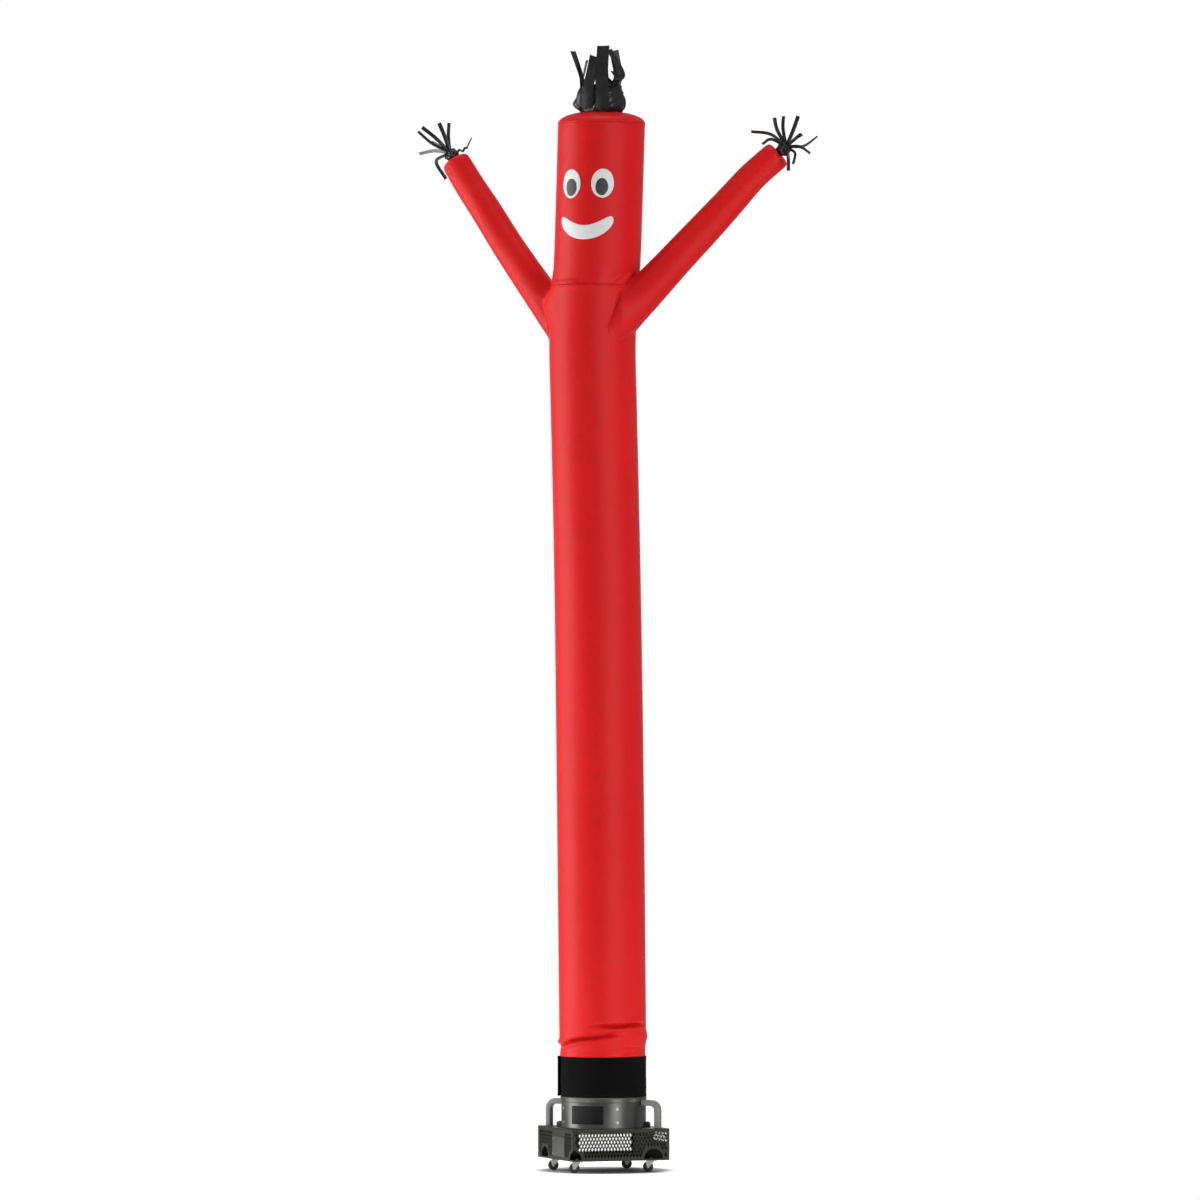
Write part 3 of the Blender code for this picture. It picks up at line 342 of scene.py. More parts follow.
# A bulge of the collar: turn, distance along the cloth, reach round, reach along, size
HAIR_LOBE = (-74, 0.045, 20, 0.028, 0.022)
HAIR_FRONT_TURN = 30
HAIR_STRIPS = (
    # turn of the root, tip x, y, z, bend x, y, z, width, turn of the broad side
    (18, 0.032, -0.072, 0.350, 0.034, -0.112, 0.190, 0.068, 14),
    (-14, -0.022, -0.044, 0.297, -0.026, -0.108, 0.190, 0.056, 18),
    (-58, -0.147, -0.035, 0.326, -0.100, -0.045, 0.200, 0.050, 86),
    (-96, -0.088, 0.030, 0.280, -0.104, 0.020, 0.190, 0.056, 106),
    (-130, -0.064, 0.075, 0.262, -0.092, 0.062, 0.190, 0.058, 130),
    (176, -0.010, 0.060, 0.330, -0.016, 0.092, 0.190, 0.060, 6),
    (136, 0.056, 0.050, 0.330, 0.070, 0.080, 0.210, 0.056, 60),
    (98, 0.070, 0.028, 0.296, 0.112, 0.020, 0.200, 0.058, 96),
    (66, 0.052, -0.030, 0.332, 0.128, -0.040, 0.200, 0.046, 76),
    (42, 0.082, -0.060, 0.215, 0.112, -0.075, 0.170, 0.044, 50),
)

# Hand tassels
STRIP = 0.0012
KNOT_RADIUS = 0.036
KNOT_PROFILE = (
    # distance from the arm's end, share of the knot's radius
    (0.000, 0.60),
    (0.018, 0.95),
    (0.044, 1.00),
    (0.060, 0.80),
    (0.066, 0.45),
)
KNOT_ROOT = 0.053
LOOP_RADIUS = 0.010
WRINKLED_STRIP = ("left", 6)
LOOPED_STRIP = ("right", 5)
TASSELS = {
    "left": (
        # tip x, y, z, bend x, y, z, width
        (-0.185, 0.040, -0.002, -0.094, 0.020, 0.012, 0.020),
        (-0.170, -0.030, 0.115, -0.096, -0.014, 0.050, 0.018),
        (-0.127, 0.072, 0.064, -0.070, 0.040, 0.038, 0.016),
        (-0.139, -0.058, 0.136, -0.064, -0.040, 0.074, 0.020),
        (-0.049, -0.040, 0.158, -0.020, -0.030, 0.084, 0.022),
        (-0.019, 0.045, 0.163, -0.018, 0.030, 0.087, 0.020),
        (0.112, 0.034, 0.080, 0.072, 0.036, 0.020, 0.018),
        (0.012, -0.113, -0.146, -0.053, -0.078, -0.050, 0.018),
    ),
    "right": (
        # tip x, y, z, bend x, y, z, width
        (-0.208, 0.058, 0.086, -0.100, 0.052, 0.070, 0.018),
        (-0.103, -0.104, 0.010, -0.060, -0.082, 0.036, 0.018),
        (-0.054, -0.040, 0.152, -0.044, -0.024, 0.090, 0.020),
        (-0.028, 0.050, 0.165, -0.026, 0.032, 0.100, 0.018),
        (0.071, -0.020, 0.160, 0.040, -0.012, 0.082, 0.022),
        (0.055, 0.062, 0.062, 0.034, 0.038, 0.038, 0.018),
        (0.160, 0.045, 0.055, 0.090, 0.022, 0.004, 0.020),
        (0.145, -0.052, -0.040, 0.085, -0.028, -0.004, 0.018),
        (0.042, -0.113, -0.133, 0.034, -0.085, -0.060, 0.018),
        (0.044, -0.024, -0.094, 0.052, -0.014, -0.036, 0.014),
    ),
}

# Sleeve
SLEEVE_THICKNESS = 0.0024
SLEEVE_RADIUS = 0.2247
SLEEVE_BOTTOM = 0.3996
SLEEVE_TOP = 0.6120
SLEEVE_START_TURN = -100
SLEEVE_LAYER = 0.0038
SLEEVE_FREE_TURN = 20
SLEEVE_FREE_LIFT = 0.0135
SLEEVE_STEP = 2.0

# Blower
BLOWER_TURN = 36
BASE_HALF = 0.2725
BASE_BOTTOM = 0.0670
BASE_TOP = 0.2350
SHEET = 0.0020
INTAKE_RADIUS = 0.208
DRUM_RADIUS = 0.2240
DRUM_TOP = 0.5850
RING_BOTTOM = 0.3720
RING_TOP = 0.3990
RING_PROUD = 0.0055
ROUND_STEPS = 128

# Perforations: staggered upright diamonds, and half-round cut-outs over the caster nuts
HOLE_PITCH = (0.0180, 0.0185)
HOLE_HALF = (0.0074, 0.0136)
HOLE_LOW_Z = 0.0960
HOLE_ROWS = 7
ARCH_RADIUS = 0.053
ARCH_SILL = 0.009
HOLE_MARGIN = 0.004
EDGE_MARGIN = 0.012
PANELS = (
    # name, quarter turn, arch centres, lowest row of holes, cut at each end, stretch left solid
    ("panel_front", 0, (0.184,), 0, (0.050, 0.0), None),
    ("panel_right", 90, (), 4, (0.0, 0.0), (-0.030, 0.300)),
    ("panel_back", 180, (), 0, (0.0, 0.0), (0.040, 0.300)),
    ("panel_left", 270, (-0.165,), 0, (0.0, 0.042), (-0.050, 0.152)),
)
COVER_SPAN = (-0.042, 0.146)
COVER_HEIGHTS = (0.086, 0.190)
SCREW_INSET = 0.012
SCREW_PROFILE = (
    # radius, height
    (0.0, 0.0), (0.0042, 0.0), (0.0042, 0.0008), (0.0036, 0.0019), (0.0020, 0.0025),
    (0.0014, 0.0025), (0.0012, 0.0012), (0.0, 0.0012),
)
LABEL_TURN = -8
LABEL_ARC = 48
LABEL_HEIGHTS = (0.2580, 0.3550)
LABEL_CORNER = 0.006
BOLT_TURNS = (-55, 35, 125, 215)
BOLT_HEIGHTS = (0.2650, 0.3380)
BOLT_PROFILE = (
    # radius, height
    (0.0, 0.0), (0.0074, 0.0), (0.0076, 0.0006), (0.0072, 0.0012), (0.0056, 0.0013), (0.0056, 0.0020),
    (0.0050, 0.0036), (0.0036, 0.0046), (0.0028, 0.0047), (0.0026, 0.0044), (0.0024, 0.0026), (0.0, 0.0024),
)
HANDLE_OUT = 0.3180
HANDLE_BAR_Z = 0.3680
HANDLE_BEND = 0.0400
HANDLE_SECTION = (0.0400, 0.0300)
HANDLE_CORNER = 0.0075
HANDLE_TURNS = {"handle_right": -9, "handle_left": 171}
BRACKET_SIZE = (0.026, 0.030, 0.030)
BRACKET_TURNS = {"bracket_right": 8, "bracket_left": 188}
DRUM_SEAM_TURN = 104

# Casters
CASTER_U = 0.208
CASTER_V = 0.165
CASTER_TRAIL_ANGLE = 196
CASTER_TRAIL = 0.0150
AXLE_Z = 0.0280
WHEEL_HALF_WIDTH = 0.0100
WHEEL_BORE = 0.0034
WHEEL_PROFILE = (
    # radius, added to it, depth below the wheel's side
    (WHEEL_BORE, 0.0, 0.0006), (WHEEL_BORE, 0.0006, 0.0), (0.0080, 0.0, 0.0), (0.0088, 0.0, 0.0006),
    (0.0094, 0.0, 0.0034), (AXLE_Z, -0.0094, 0.0040), (AXLE_Z, -0.0082, 0.0008), (AXLE_Z, -0.0070, 0.0),
    (AXLE_Z, -0.0030, 0.0002), (AXLE_Z, -0.0012, 0.0014), (AXLE_Z, -0.0002, 0.0040), (AXLE_Z, 0.0, 0.0070),
)
FORK_INNER_HALF = 0.0112
FORK_THICKNESS = 0.0022
CROWN_BOTTOM = 0.0600
CROWN_TOP = 0.0624
STEM_RADIUS = 0.0045
RUNNING_CLEARANCE = 0.0005
CASTERS = (
    # name, u side, v side, brake tab
    ("front_left", -1, -1, True),
    ("front_right", 1, -1, True),
    ("back_left", -1, 1, False),
    ("back_right", 1, 1, False),
)


def hermite(rows, at, column=1):
    """Reads one column of a table at a place, with a smooth curve through its rows."""
    if at <= rows[0][0]:
        return rows[0][column]
    if at >= rows[-1][0]:
        return rows[-1][column]
    k = 0
    while rows[k + 1][0] < at:
        k += 1

    def slope(n):
        low, high = rows[max(0, n - 1)], rows[min(len(rows) - 1, n + 1)]
        return (high[column] - low[column]) / (high[0] - low[0])

    span = rows[k + 1][0] - rows[k][0]
    t = (at - rows[k][0]) / span
    return (
        rows[k][column] * (1 + 2 * t) * (1 - t) ** 2
        + rows[k + 1][column] * t * t * (3 - 2 * t)
        + slope(k) * span * t * (1 - t) ** 2
        - slope(k + 1) * span * t * t * (1 - t)
    )


def wrap(turn):
    return (turn + 180.0) % 360.0 - 180.0


def even(low, high, count):
    """Evenly spaced values from low to high, both of them too."""
    return [low + (high - low) * k / count for k in range(count + 1)]


def ring(radius, steps):
    """Places once round a circle, as (x, y)."""
    return [(radius * cos(angle), radius * sin(angle)) for angle in even(0.0, 2 * pi, steps)[:-1]]


def around(turn, radius, height, middle=0.0):
    """A point round an upright axis."""
    return Vector((middle + radius * sin(radians(turn)), -radius * cos(radians(turn)), height))


def moved(x, y, z):
    return Matrix.Translation((x, y, z))


def spun(angle, axis="Z"):
    return Matrix.Rotation(radians(angle), 4, axis)


def path_length(points):
    return sum((b - a).length for a, b in zip(points, points[1:]))


PLEATS = [(*row[:5], *row[4:], 0.0) for row in FOLDS] + list(CREASES)
TURNS = even(0.0, 360.0, TUBE_COLUMNS)
BLOWER = spun(BLOWER_TURN)
ARM_LINES = {side: [Vector(row[:3]) for row in rows] for side, rows in ARMS.items()}
ARM_LENGTHS = {side: path_length(line) for side, line in ARM_LINES.items()}


def spread(zones):
    """Heights from a table of zones, each with its own step."""
    heights = []
    for low, high, step in zones:
        heights += even(low, high, max(1, round((high - low) / step)))[:-1]
    return heights + [zones[-1][1]]


def fold_offset(turn, height):
    """How far the folds and creases move the cloth outwards."""
    total = 0.0
    for middle, centre, slope, reach, above, below, depth, wobble in PLEATS:
        away = wrap(turn - centre)
        if abs(away) < reach:
            line = middle + slope * radians(away) + wobble * sin(radians(away) * 7.0 + centre)
            width = above if height > line else below
            total += depth * cos(0.5 * pi * away / reach) * exp(-(((height - line) / width) ** 2))
    return total


def slow_offset(turn, height):
    calm = min(1.0, max(0.0, (height - 0.75) / 0.6))
    return calm * sum(
        size * sin(waves * radians(turn) + rate * height * 2 + phase)
        for waves, rate, phase, size in SLOW_WAVES
    )


def skin_radius(turn, height):
    return hermite(TUBE_RADII, height) + fold_offset(turn, height) + slow_offset(turn, height)


def skin_point(turn, height, outwards=0.0):
    """A point on the outside of the inflated tube."""
    return around(turn, skin_radius(turn, height) + outwards, height, hermite(CENTRE_LINE, height))


def skin_normal(turn):
    return around(turn, 1.0, 0.0)


# Meshes


def placed(name, data):
    made = bpy.data.objects.new(name, data)
    bpy.context.scene.collection.objects.link(made)
    return made


def from_bmesh(name, bm, smooth_angle=None):
    data = bpy.data.meshes.new(name)
    bm.to_mesh(data)
    bm.free()
    data.shade_smooth()
    if smooth_angle is not None:
        data.set_sharp_from_angle(angle=radians(smooth_angle))
    return placed(name, data)


def grid_object(name, rows, closed=False, us=None, vs=None, keep=None, smooth_angle=None):
    """A sheet through rows of points. Its UVs are the cloth's own widths and lengths in metres."""
    bm = bmesh.new()
    layer = bm.loops.layers.uv.new("cloth")
    verts = [[bm.verts.new(point) for point in row] for row in rows]
    columns = len(rows[0])
    for j in range(len(rows) - 1):
        for k in range(columns if closed else columns - 1):
            if keep is not None and not keep(j, k):
                continue
            low, high, following = verts[j], verts[j + 1], (k + 1) % columns
            face = bm.faces.new((low[k], low[following], high[following], high[k]))
            if us is not None:
                corners = ((k, j), (k + 1, j), (k + 1, j + 1), (k, j + 1))
                for loop, (u, v) in zip(face.loops, corners):
                    loop[layer].uv = (us[u], vs[v])
    bmesh.ops.delete(bm, geom=[v for v in bm.verts if not v.link_faces], context="VERTS")
    return from_bmesh(name, bm, smooth_angle)


def mended(made, join=0.0, thin=0.0, fill=False, near=None, outwards=True):
    """Joins points that lie together, drops slivers, fills openings and turns the faces outwards."""
    bm = bmesh.new()
    bm.from_mesh(made.data)
    if join:
        bmesh.ops.remove_doubles(bm, verts=bm.verts, dist=join)
    if thin:
        bmesh.ops.dissolve_degenerate(bm, edges=bm.edges, dist=thin)
    if fill:
        rim = [edge for edge in bm.edges if edge.is_boundary]
        if near is not None:
            rim = [edge for edge in rim if all((v.co - near).length < HAND_REACH for v in edge.verts)]
        bmesh.ops.holes_fill(bm, edges=rim)
    if outwards:
        bmesh.ops.recalc_face_normals(bm, faces=bm.faces)
    bm.to_mesh(made.data)
    bm.free()
    return made


def modify(made, kind, **settings):
    modifier = made.modifiers.new(kind.lower(), kind)
    for setting, value in settings.items():
        setattr(modifier, setting, value)
    return made


def solidify(made, thickness, offset=-1.0):
    return modify(made, "SOLIDIFY", thickness=thickness, offset=offset)


def dress(made, slot, body="root", replaces=(), finish=None):
    """Gives the piece its finish and its body, and hides the nodes that it stands for."""
    made.data.materials.clear()
    made.data.materials.append(MATERIALS[finish or slot])
    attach(made, body)
    if replaces:
        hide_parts(*replaces)
    return made


def joined(name, pieces, smooth_angle=None):
    """Several meshes as one piece, after their modifiers."""
    depsgraph = bpy.context.evaluated_depsgraph_get()
    bm = bmesh.new()
    for piece in pieces:
        data = bpy.data.meshes.new_from_object(piece.evaluated_get(depsgraph))
        data.transform(piece.matrix_world)
        bm.from_mesh(data)
        bpy.data.meshes.remove(data)
    for piece in pieces:
        bpy.data.objects.remove(piece, do_unlink=True)
    return from_bmesh(name, bm, smooth_angle)


# Materials


def opaque(colour):
    return (*colour, 1.0)


class Shader:
    """A node material on a Principled shader, with short calls for the nodes that feed it."""

    def __init__(self, name, colour, roughness, metallic=0.0, **constants):
        self.material = bpy.data.materials.new(name)
        self.material.use_nodes = True
        self.material.diffuse_color = opaque(colour)
        self.tree = self.material.node_tree
        self.shader = self.tree.nodes["Principled BSDF"]
        constants.update(Base_Color=opaque(colour), Roughness=roughness, Metallic=metallic)
        for socket, value in constants.items():
            self.shader.inputs[socket.replace("_", " ")].default_value = value

    def node(self, kind, settings=None, **inputs):
        made = self.tree.nodes.new(kind)
        for setting, value in (settings or {}).items():
            setattr(made, setting, value)
        for socket, value in inputs.items():
            target = made.inputs[int(socket[1:]) if socket[1:].isdigit() else socket.replace("_", " ")]
            if isinstance(value, bpy.types.NodeSocket):
                self.tree.links.new(value, target)
            else:
                target.default_value = value
        return made

    def link(self, source, socket):
        self.tree.links.new(source, self.shader.inputs[socket])

    def maths(self, operation, first, second=0.0):
        return self.node("ShaderNodeMath", {"operation": operation}, i0=first, i1=second).outputs[0]

    def coordinates(self, kind):
        return self.node("ShaderNodeTexCoord").outputs[kind]

    def noise(self, place, scale, detail=2.0, roughness=0.5):
        settings = {"Vector": place, "Scale": scale, "Detail": detail, "Roughness": roughness}
        return self.node("ShaderNodeTexNoise", **settings).outputs["Fac"]

    def ranged(self, value, low, high, to_low=0.0, to_high=1.0):
        limits = {"i1": low, "i2": high, "i3": to_low, "i4": to_high}
        return self.node("ShaderNodeMapRange", Value=value, **limits).outputs[0]

    def sum(self, first, share, second):
        rest = self.maths("MULTIPLY", second, 1 - share)
        return self.maths("ADD", self.maths("MULTIPLY", first, share), rest)

    def tones(self, factor, dark, light):
        """Blends the base colour from dark to light."""
        colours = {"i6": opaque(dark), "i7": opaque(light)}
        mixed = self.node("ShaderNodeMix", {"data_type": "RGBA"}, i0=factor, **colours)
        self.link(mixed.outputs[2], "Base Color")

    def gloss(self, value, low, high):
        self.link(self.ranged(value, 0.3, 0.7, low, high), "Roughness")

    def bump(self, height, strength, distance):
        last = self.shader.inputs["Normal"].links
        made = self.node("ShaderNodeBump", Height=height, Strength=strength, Distance=distance)
        if last:
            self.tree.links.new(last[0].from_socket, made.inputs["Normal"])
        self.link(made.outputs[0], "Normal")


def weave_height(shade, pitch):
    """A plain weave from the cloth's own widths and lengths."""
    parts = shade.node("ShaderNodeSeparateXYZ", Vector=shade.coordinates("UV")).outputs
    turns = 2 * pi / pitch
    across, along = (shade.maths("SINE", shade.maths("MULTIPLY", part, turns)) for part in parts[:2])
    return shade.maths("MULTIPLY", across, along)


def cloth_material(name, colour, dark, light, roughness, pitch, weave, **constants):
    """A woven cloth: slow changes of colour and gloss, fine weave and a little crumple."""
    shade = Shader(name, colour, roughness, **constants)
    place = shade.coordinates("Object")
    fine = shade.noise(place, 34.0, 4.0)
    tone = shade.sum(shade.noise(place, 2.2, 3.0), 0.6, fine)
    shade.tones(shade.ranged(tone, 0.35, 0.65), dark, light)
    shade.gloss(fine, roughness - 0.05, roughness + 0.06)
    shade.bump(shade.noise(place, 14.0, 3.0), 0.10, 0.004)
    shade.bump(weave_height(shade, pitch), weave, pitch * 0.25)
    return shade.material


def paint_material(name, colour, dark, light, roughness, speckle, metallic=0.0, **constants):
    """Powder-coated sheet: a fine orange peel, dust in patches and uneven gloss."""
    shade = Shader(name, colour, roughness, metallic, **constants)
    place = shade.coordinates("Object")
    dust = shade.noise(place, 5.0, 5.0, 0.6)
    tone = shade.sum(dust, 0.75, shade.noise(place, 240.0, 2.0))
    shade.tones(shade.ranged(tone, 0.35, 0.68), dark, light)
    shade.gloss(dust, roughness - 0.06, roughness + 0.10)
    shade.bump(shade.noise(place, 420.0, 2.0), speckle, 0.0006)
    return shade.material


def zinc_material(name):
    shade = Shader(name, (0.42, 0.42, 0.43), 0.30, 1.0)
    place = shade.coordinates("Object")
    spangle = shade.node("ShaderNodeTexVoronoi", Vector=place, Scale=260.0).outputs["Color"]
    level = shade.node("ShaderNodeSeparateColor", Color=spangle).outputs[0]
    shade.tones(level, (0.32, 0.32, 0.33), (0.52, 0.52, 0.53))
    shade.gloss(shade.noise(place, 60.0, 3.0), 0.22, 0.44)
    shade.bump(level, 0.05, 0.0003)
    return shade.material


def rubber_material(name):
    shade = Shader(name, (0.016, 0.016, 0.017), 0.55)
    place = shade.coordinates("Object")
    dust = shade.noise(place, 90.0, 4.0, 0.65)
    shade.tones(shade.ranged(dust, 0.45, 0.75), (0.012, 0.012, 0.013), (0.06, 0.058, 0.055))
    shade.gloss(dust, 0.42, 0.68)
    shade.bump(shade.noise(place, 700.0, 2.0), 0.08, 0.0004)
    return shade.material


def make_materials():
    made = {"zinc": zinc_material("zinc_plate"), "black_rubber": rubber_material("wheel_rubber")}
    for maker, rows in ((cloth_material, CLOTHS), (paint_material, PAINTS)):
        for slot, (*numbers, constants) in rows.items():
            made[slot] = maker(*numbers, **constants)
    return made


# Seams


def walk(points, pitch):
    """Evenly spaced places along a path of (point, normal) pairs: position, direction and normal."""
    places = []
    reached = 0.0
    wanted = pitch / 2
    for (start, normal), (end, _) in zip(points, points[1:]):
        length = (end - start).length
        while length > 0 and wanted <= reached + length:
            share = (wanted - reached) / length
            places.append((start.lerp(end, share), (end - start).normalized(), normal))
            wanted += pitch
        reached += length
    return places


def stitches(name, paths, slot):
    """Short raised threads along the paths."""
    bm = bmesh.new()
    for place, along, normal in [place for path in paths for place in walk(path, STITCH_PITCH)]:
        side = along.cross(normal).normalized() * (THREAD / 2)
        up = normal * (THREAD / 2)
        ends = [bm.verts.new(place + along * (sign * STITCH_LENGTH / 2)) for sign in (-1, 1)]
        sides = [bm.verts.new(place + offset) for offset in (side, up, -side, -up)]
        for a, b in zip(sides, sides[1:] + sides[:1]):
            bm.faces.new((ends[0], b, a))
            bm.faces.new((ends[1], a, b))
    bmesh.ops.recalc_face_normals(bm, faces=bm.faces)
    return dress(from_bmesh(name, bm), slot)


def welt(name, path, width, thickness, closed=False):
    """A flat red seam band lying along a path of (point, normal) pairs, its middle a little higher."""
    rows = []
    count = len(path)
    for k, (point, normal) in enumerate(path):
        after = path[(k + 1) % count][0] if closed else path[min(k + 1, count - 1)][0]
        before = path[k - 1][0] if closed or k else path[0][0]
        across = (after - before).cross(normal).normalized() * (width / 2)
        rows.append([point + across * wide + normal * (thickness * tall) for wide, tall in WELT_SECTION])
    if closed:
        rows.append(rows[0])
    band = grid_object(name, rows, closed=True, smooth_angle=60)
    return dress(mended(band, join=0.00001, fill=not closed), "red_cloth")


def skin_round(height, outwards):
    """A path once round the tube at a height."""
    return [(skin_point(turn, height, outwards), skin_normal(turn)) for turn in TURNS]


def skin_upright(turn, low, high, outwards):
    heights = even(low, high, int((high - low) / SEAM_STEP))
    return [(skin_point(turn, height, outwards), skin_normal(turn)) for height in heights]


# The dancer


def cloth_round(name, rows, girth, lengths, slot, node, keep=None, smooth_angle=None):
    """Cloth that goes once round, with its thickness and the node that it stands for."""
    us = [radians(turn) * girth for turn in TURNS]
    made = grid_object(name, rows, closed=True, us=us, vs=lengths, keep=keep, smooth_angle=smooth_angle)
    return dress(solidify(made, CLOTH), slot, replaces=[node])


def in_arm_hole(turn, height):
    def share(centre, middle):
        across = radians(wrap(turn - centre)) * 0.24 / ARM_HOLE_HALF[0]
        return hypot(across, (height - middle) / ARM_HOLE_HALF[1])

    return any(share(*hole) < 1.0 for hole in ARM_HOLES.values())


def tube_cloth(name, zones, node):
    """One length of the inflated tube."""
    heights = spread(zones)

    def keep(j, k):
        return not in_arm_hole(TURNS[k] + 180.0 / TUBE_COLUMNS, (heights[j] + heights[j + 1]) / 2)

    rows = [[skin_point(turn, height) for turn in TURNS[:-1]] for height in heights]
    return cloth_round(name, rows, TUBE_RADIUS, heights, "red_cloth", node, keep)


def crown_point(turn, distance):
    """A point of the domed crown, which is pulled a little unevenly towards the hair."""
    angle = radians(turn)
    pull = min(1.0, distance / 0.05)
    ripple = pull * (0.0012 * sin(7 * angle + 0.8) + 0.0009 * sin(13 * angle + 2.0))
    radius = hermite(CROWN_PROFILE, distance) + slow_offset(turn, RIM_Z) * (1 - pull)
    return around(turn, radius, RIM_Z + hermite(CROWN_PROFILE, distance, 2) + ripple, CROWN_X)


def make_crown():
    along = even(0.0, CROWN_PROFILE[-1][0], 40)
    rows = [[crown_point(turn, distance) for turn in TURNS[:-1]] for distance in along]
    return cloth_round("crown_cloth", rows, 0.2, along, "red_cloth", "head_cap")


def smooth_point(points, at):
    """A point and direction on the smooth curve through the points, at a place from 0 to 1."""
    spans = len(points) - 1
    k = min(int(at * spans), spans - 1)
    t = at * spans - k
    start, end = points[k], points[k + 1]
    before = points[k - 1] if k else start * 2 - end
    after = points[k + 2] if k + 2 <= spans else end * 2 - start
    first = end - before
    second = before * 2 - start * 5 + end * 4 - after
    third = start * 3 - before - end * 3 + after
    place = (start * 2 + first * t + second * t**2 + third * t**3) * 0.5
    ahead = (first + second * (2 * t) + third * (3 * t**2)) * 0.5
    return place, ahead.normalized()


def arm_place(side, at):
    """The arm's centre, direction and two square-on directions at a place from 0 to 1."""
    points = ARM_LINES[side]
    place, along = smooth_point(points, at)
    if at > 0.999:
        along = (points[-1] - points[-2]).normalized()
    across = along.cross(Vector((0.0, 1.0, 0.0))).normalized()
    return place, along, across, along.cross(across)


def arm_radius(side, at):
    rows = [(k / (len(ARMS[side]) - 1), row[3]) for k, row in enumerate(ARMS[side])]
    return hermite(rows, at) * hermite(ARM_TIP_RADII, (1.0 - at) * ARM_LENGTHS[side])


def arm_ripple(side, angle, at, root):
    """Small folds that fan out from the root, and gathers where the hand is closed."""
    phase = 0.7 if side == "left" else 2.3
    from_root = max(0.0, (at - root) * ARM_LENGTHS[side])
    to_end = (1.0 - at) * ARM_LENGTHS[side]
    fan = 0.0034 * exp(-from_root / 0.07) * sin(7 * angle + phase + 3.0 * from_root / 0.1)
    fan += 0.0016 * exp(-from_root / 0.16) * sin(4 * angle - phase)
    gather = 0.0008 * exp(-to_end / 0.030) * sin(11 * angle + phase)
    slow = 0.0012 * sin(2 * angle + 9.0 * at + phase) + 0.0008 * sin(3 * angle - 14.0 * at)
    return fan + gather + slow


def beyond_skin(point):
    """How far a point is outside the tube."""
    side = hermite(CENTRE_LINE, point.z)
    turn = degrees(Vector((0.0, -1.0)).angle_signed(Vector((point.x - side, point.y)))) * -1
    return hypot(point.x - side, point.y) - skin_radius(turn, point.z)


def arm_flare(side, angle, beyond):
    """How much the arm widens towards the shoulder, where its cloth runs smoothly into the tube's."""
    middle, size, reach = ARM_FLARES[side]
    return size * max(0.0, cos(angle - radians(middle))) * exp(-max(0.0, beyond) / reach)


def arm_point(side, angle, at, root=0.0):
    place, _, across, over = arm_place(side, at)
    radius = arm_radius(side, at)
    radius += arm_ripple(side, angle, at, root) * min(1.0, radius / 0.06)
    out = across * cos(angle) + over * sin(angle)
    return place + out * (radius + arm_flare(side, angle, beyond_skin(place + out * radius)))


def arm_root(side, angle):
    """Where the arm's cloth at an angle comes out of the tube: a search by steps, then by halves."""

    def inside(at):
        return beyond_skin(arm_point(side, angle, at)) < 0

    steps = 60
    low = next((at for at in reversed(even(0.0, 0.5, steps)) if inside(at)), 0.0)
    high = low + 0.5 / steps
    for _ in range(12):
        middle = (low + high) / 2
        if inside(middle):
            low = middle
        else:
            high = middle
    return low


def make_arm(side):
    """An arm that starts at its seam on the tube, with its seam band and its stitches."""
    length = ARM_LENGTHS[side]
    angles = even(0.0, 2 * pi, ARM_COLUMNS)
    roots = [arm_root(side, angle) for angle in angles[:-1]]
    starts = [root - ARM_TUCK / length for root in roots]
    tip = ARM_TIP_RADII[-1][0] / length
    places = [[s + (1.0 - tip - s) * share**1.25 for s in starts] for share in even(0.0, 1.0, ARM_ROWS)]
    places += [[1.0 - before / length] * ARM_COLUMNS for before, _ in reversed(ARM_TIP_RADII[:-1])]
    rows = [[arm_point(side, *spot) for spot in zip(angles, row, roots)] for row in places]
    girth = [angle * ARM_RADIUS for angle in angles]
    lengths = even(0.0, length, len(rows))
    cloth = grid_object(f"arm_cloth_{side}", rows, closed=True, us=girth, vs=lengths)
    mended(cloth, fill=True, near=rows[-1][0], outwards=False).data.shade_smooth()
    dress(solidify(cloth, CLOTH), "red_cloth", replaces=[f"arm_{side}"])
    path = []
    for angle, root in zip(angles, roots + roots[:1]):
        point = arm_point(side, angle, root, root)
        away = (point - arm_place(side, root)[0]).normalized()
        turn_out = Vector((point.x - hermite(CENTRE_LINE, point.z), point.y, 0.0)).normalized()
        path.append((point, (away + turn_out).normalized()))
    band = welt(f"arm_seam_{side}", path[:-1], 0.0160, 0.0036, closed=True)
    raised = [(point + normal * 0.0037, normal) for point, normal in path]
    return cloth, [band, stitches(f"arm_stitches_{side}", [raised], "red_cloth")]


def smooth_path(points, steps=12):
    total = (len(points) - 1) * steps
    return [smooth_point(points, k / total)[0] for k in range(total + 1)]


def strip_piece(points, width, broad, camber, twist):
    """A strip of cloth along the points, a little cambered, turning as it goes."""
    rows = []
    count = len(points) - 1
    for k, point in enumerate(points):
        along = (points[min(k + 1, count)] - points[max(k - 1, 0)]).normalized()
        flat = broad - along * broad.dot(along)
        flat.normalize()
        flat.rotate(Matrix.Rotation(twist * k / count, 3, along))
        up = along.cross(flat)
        spots = [(v * width / 2, camber * (1 - v * v)) for v in even(-1.0, 1.0, 4)]
        rows.append([point + flat * wide + up * tall for wide, tall in spots])
    us, vs = even(0.0, width, 4), even(0.0, path_length(points), count)
    return solidify(grid_object("strip", rows, us=us, vs=vs), STRIP, offset=0.0)


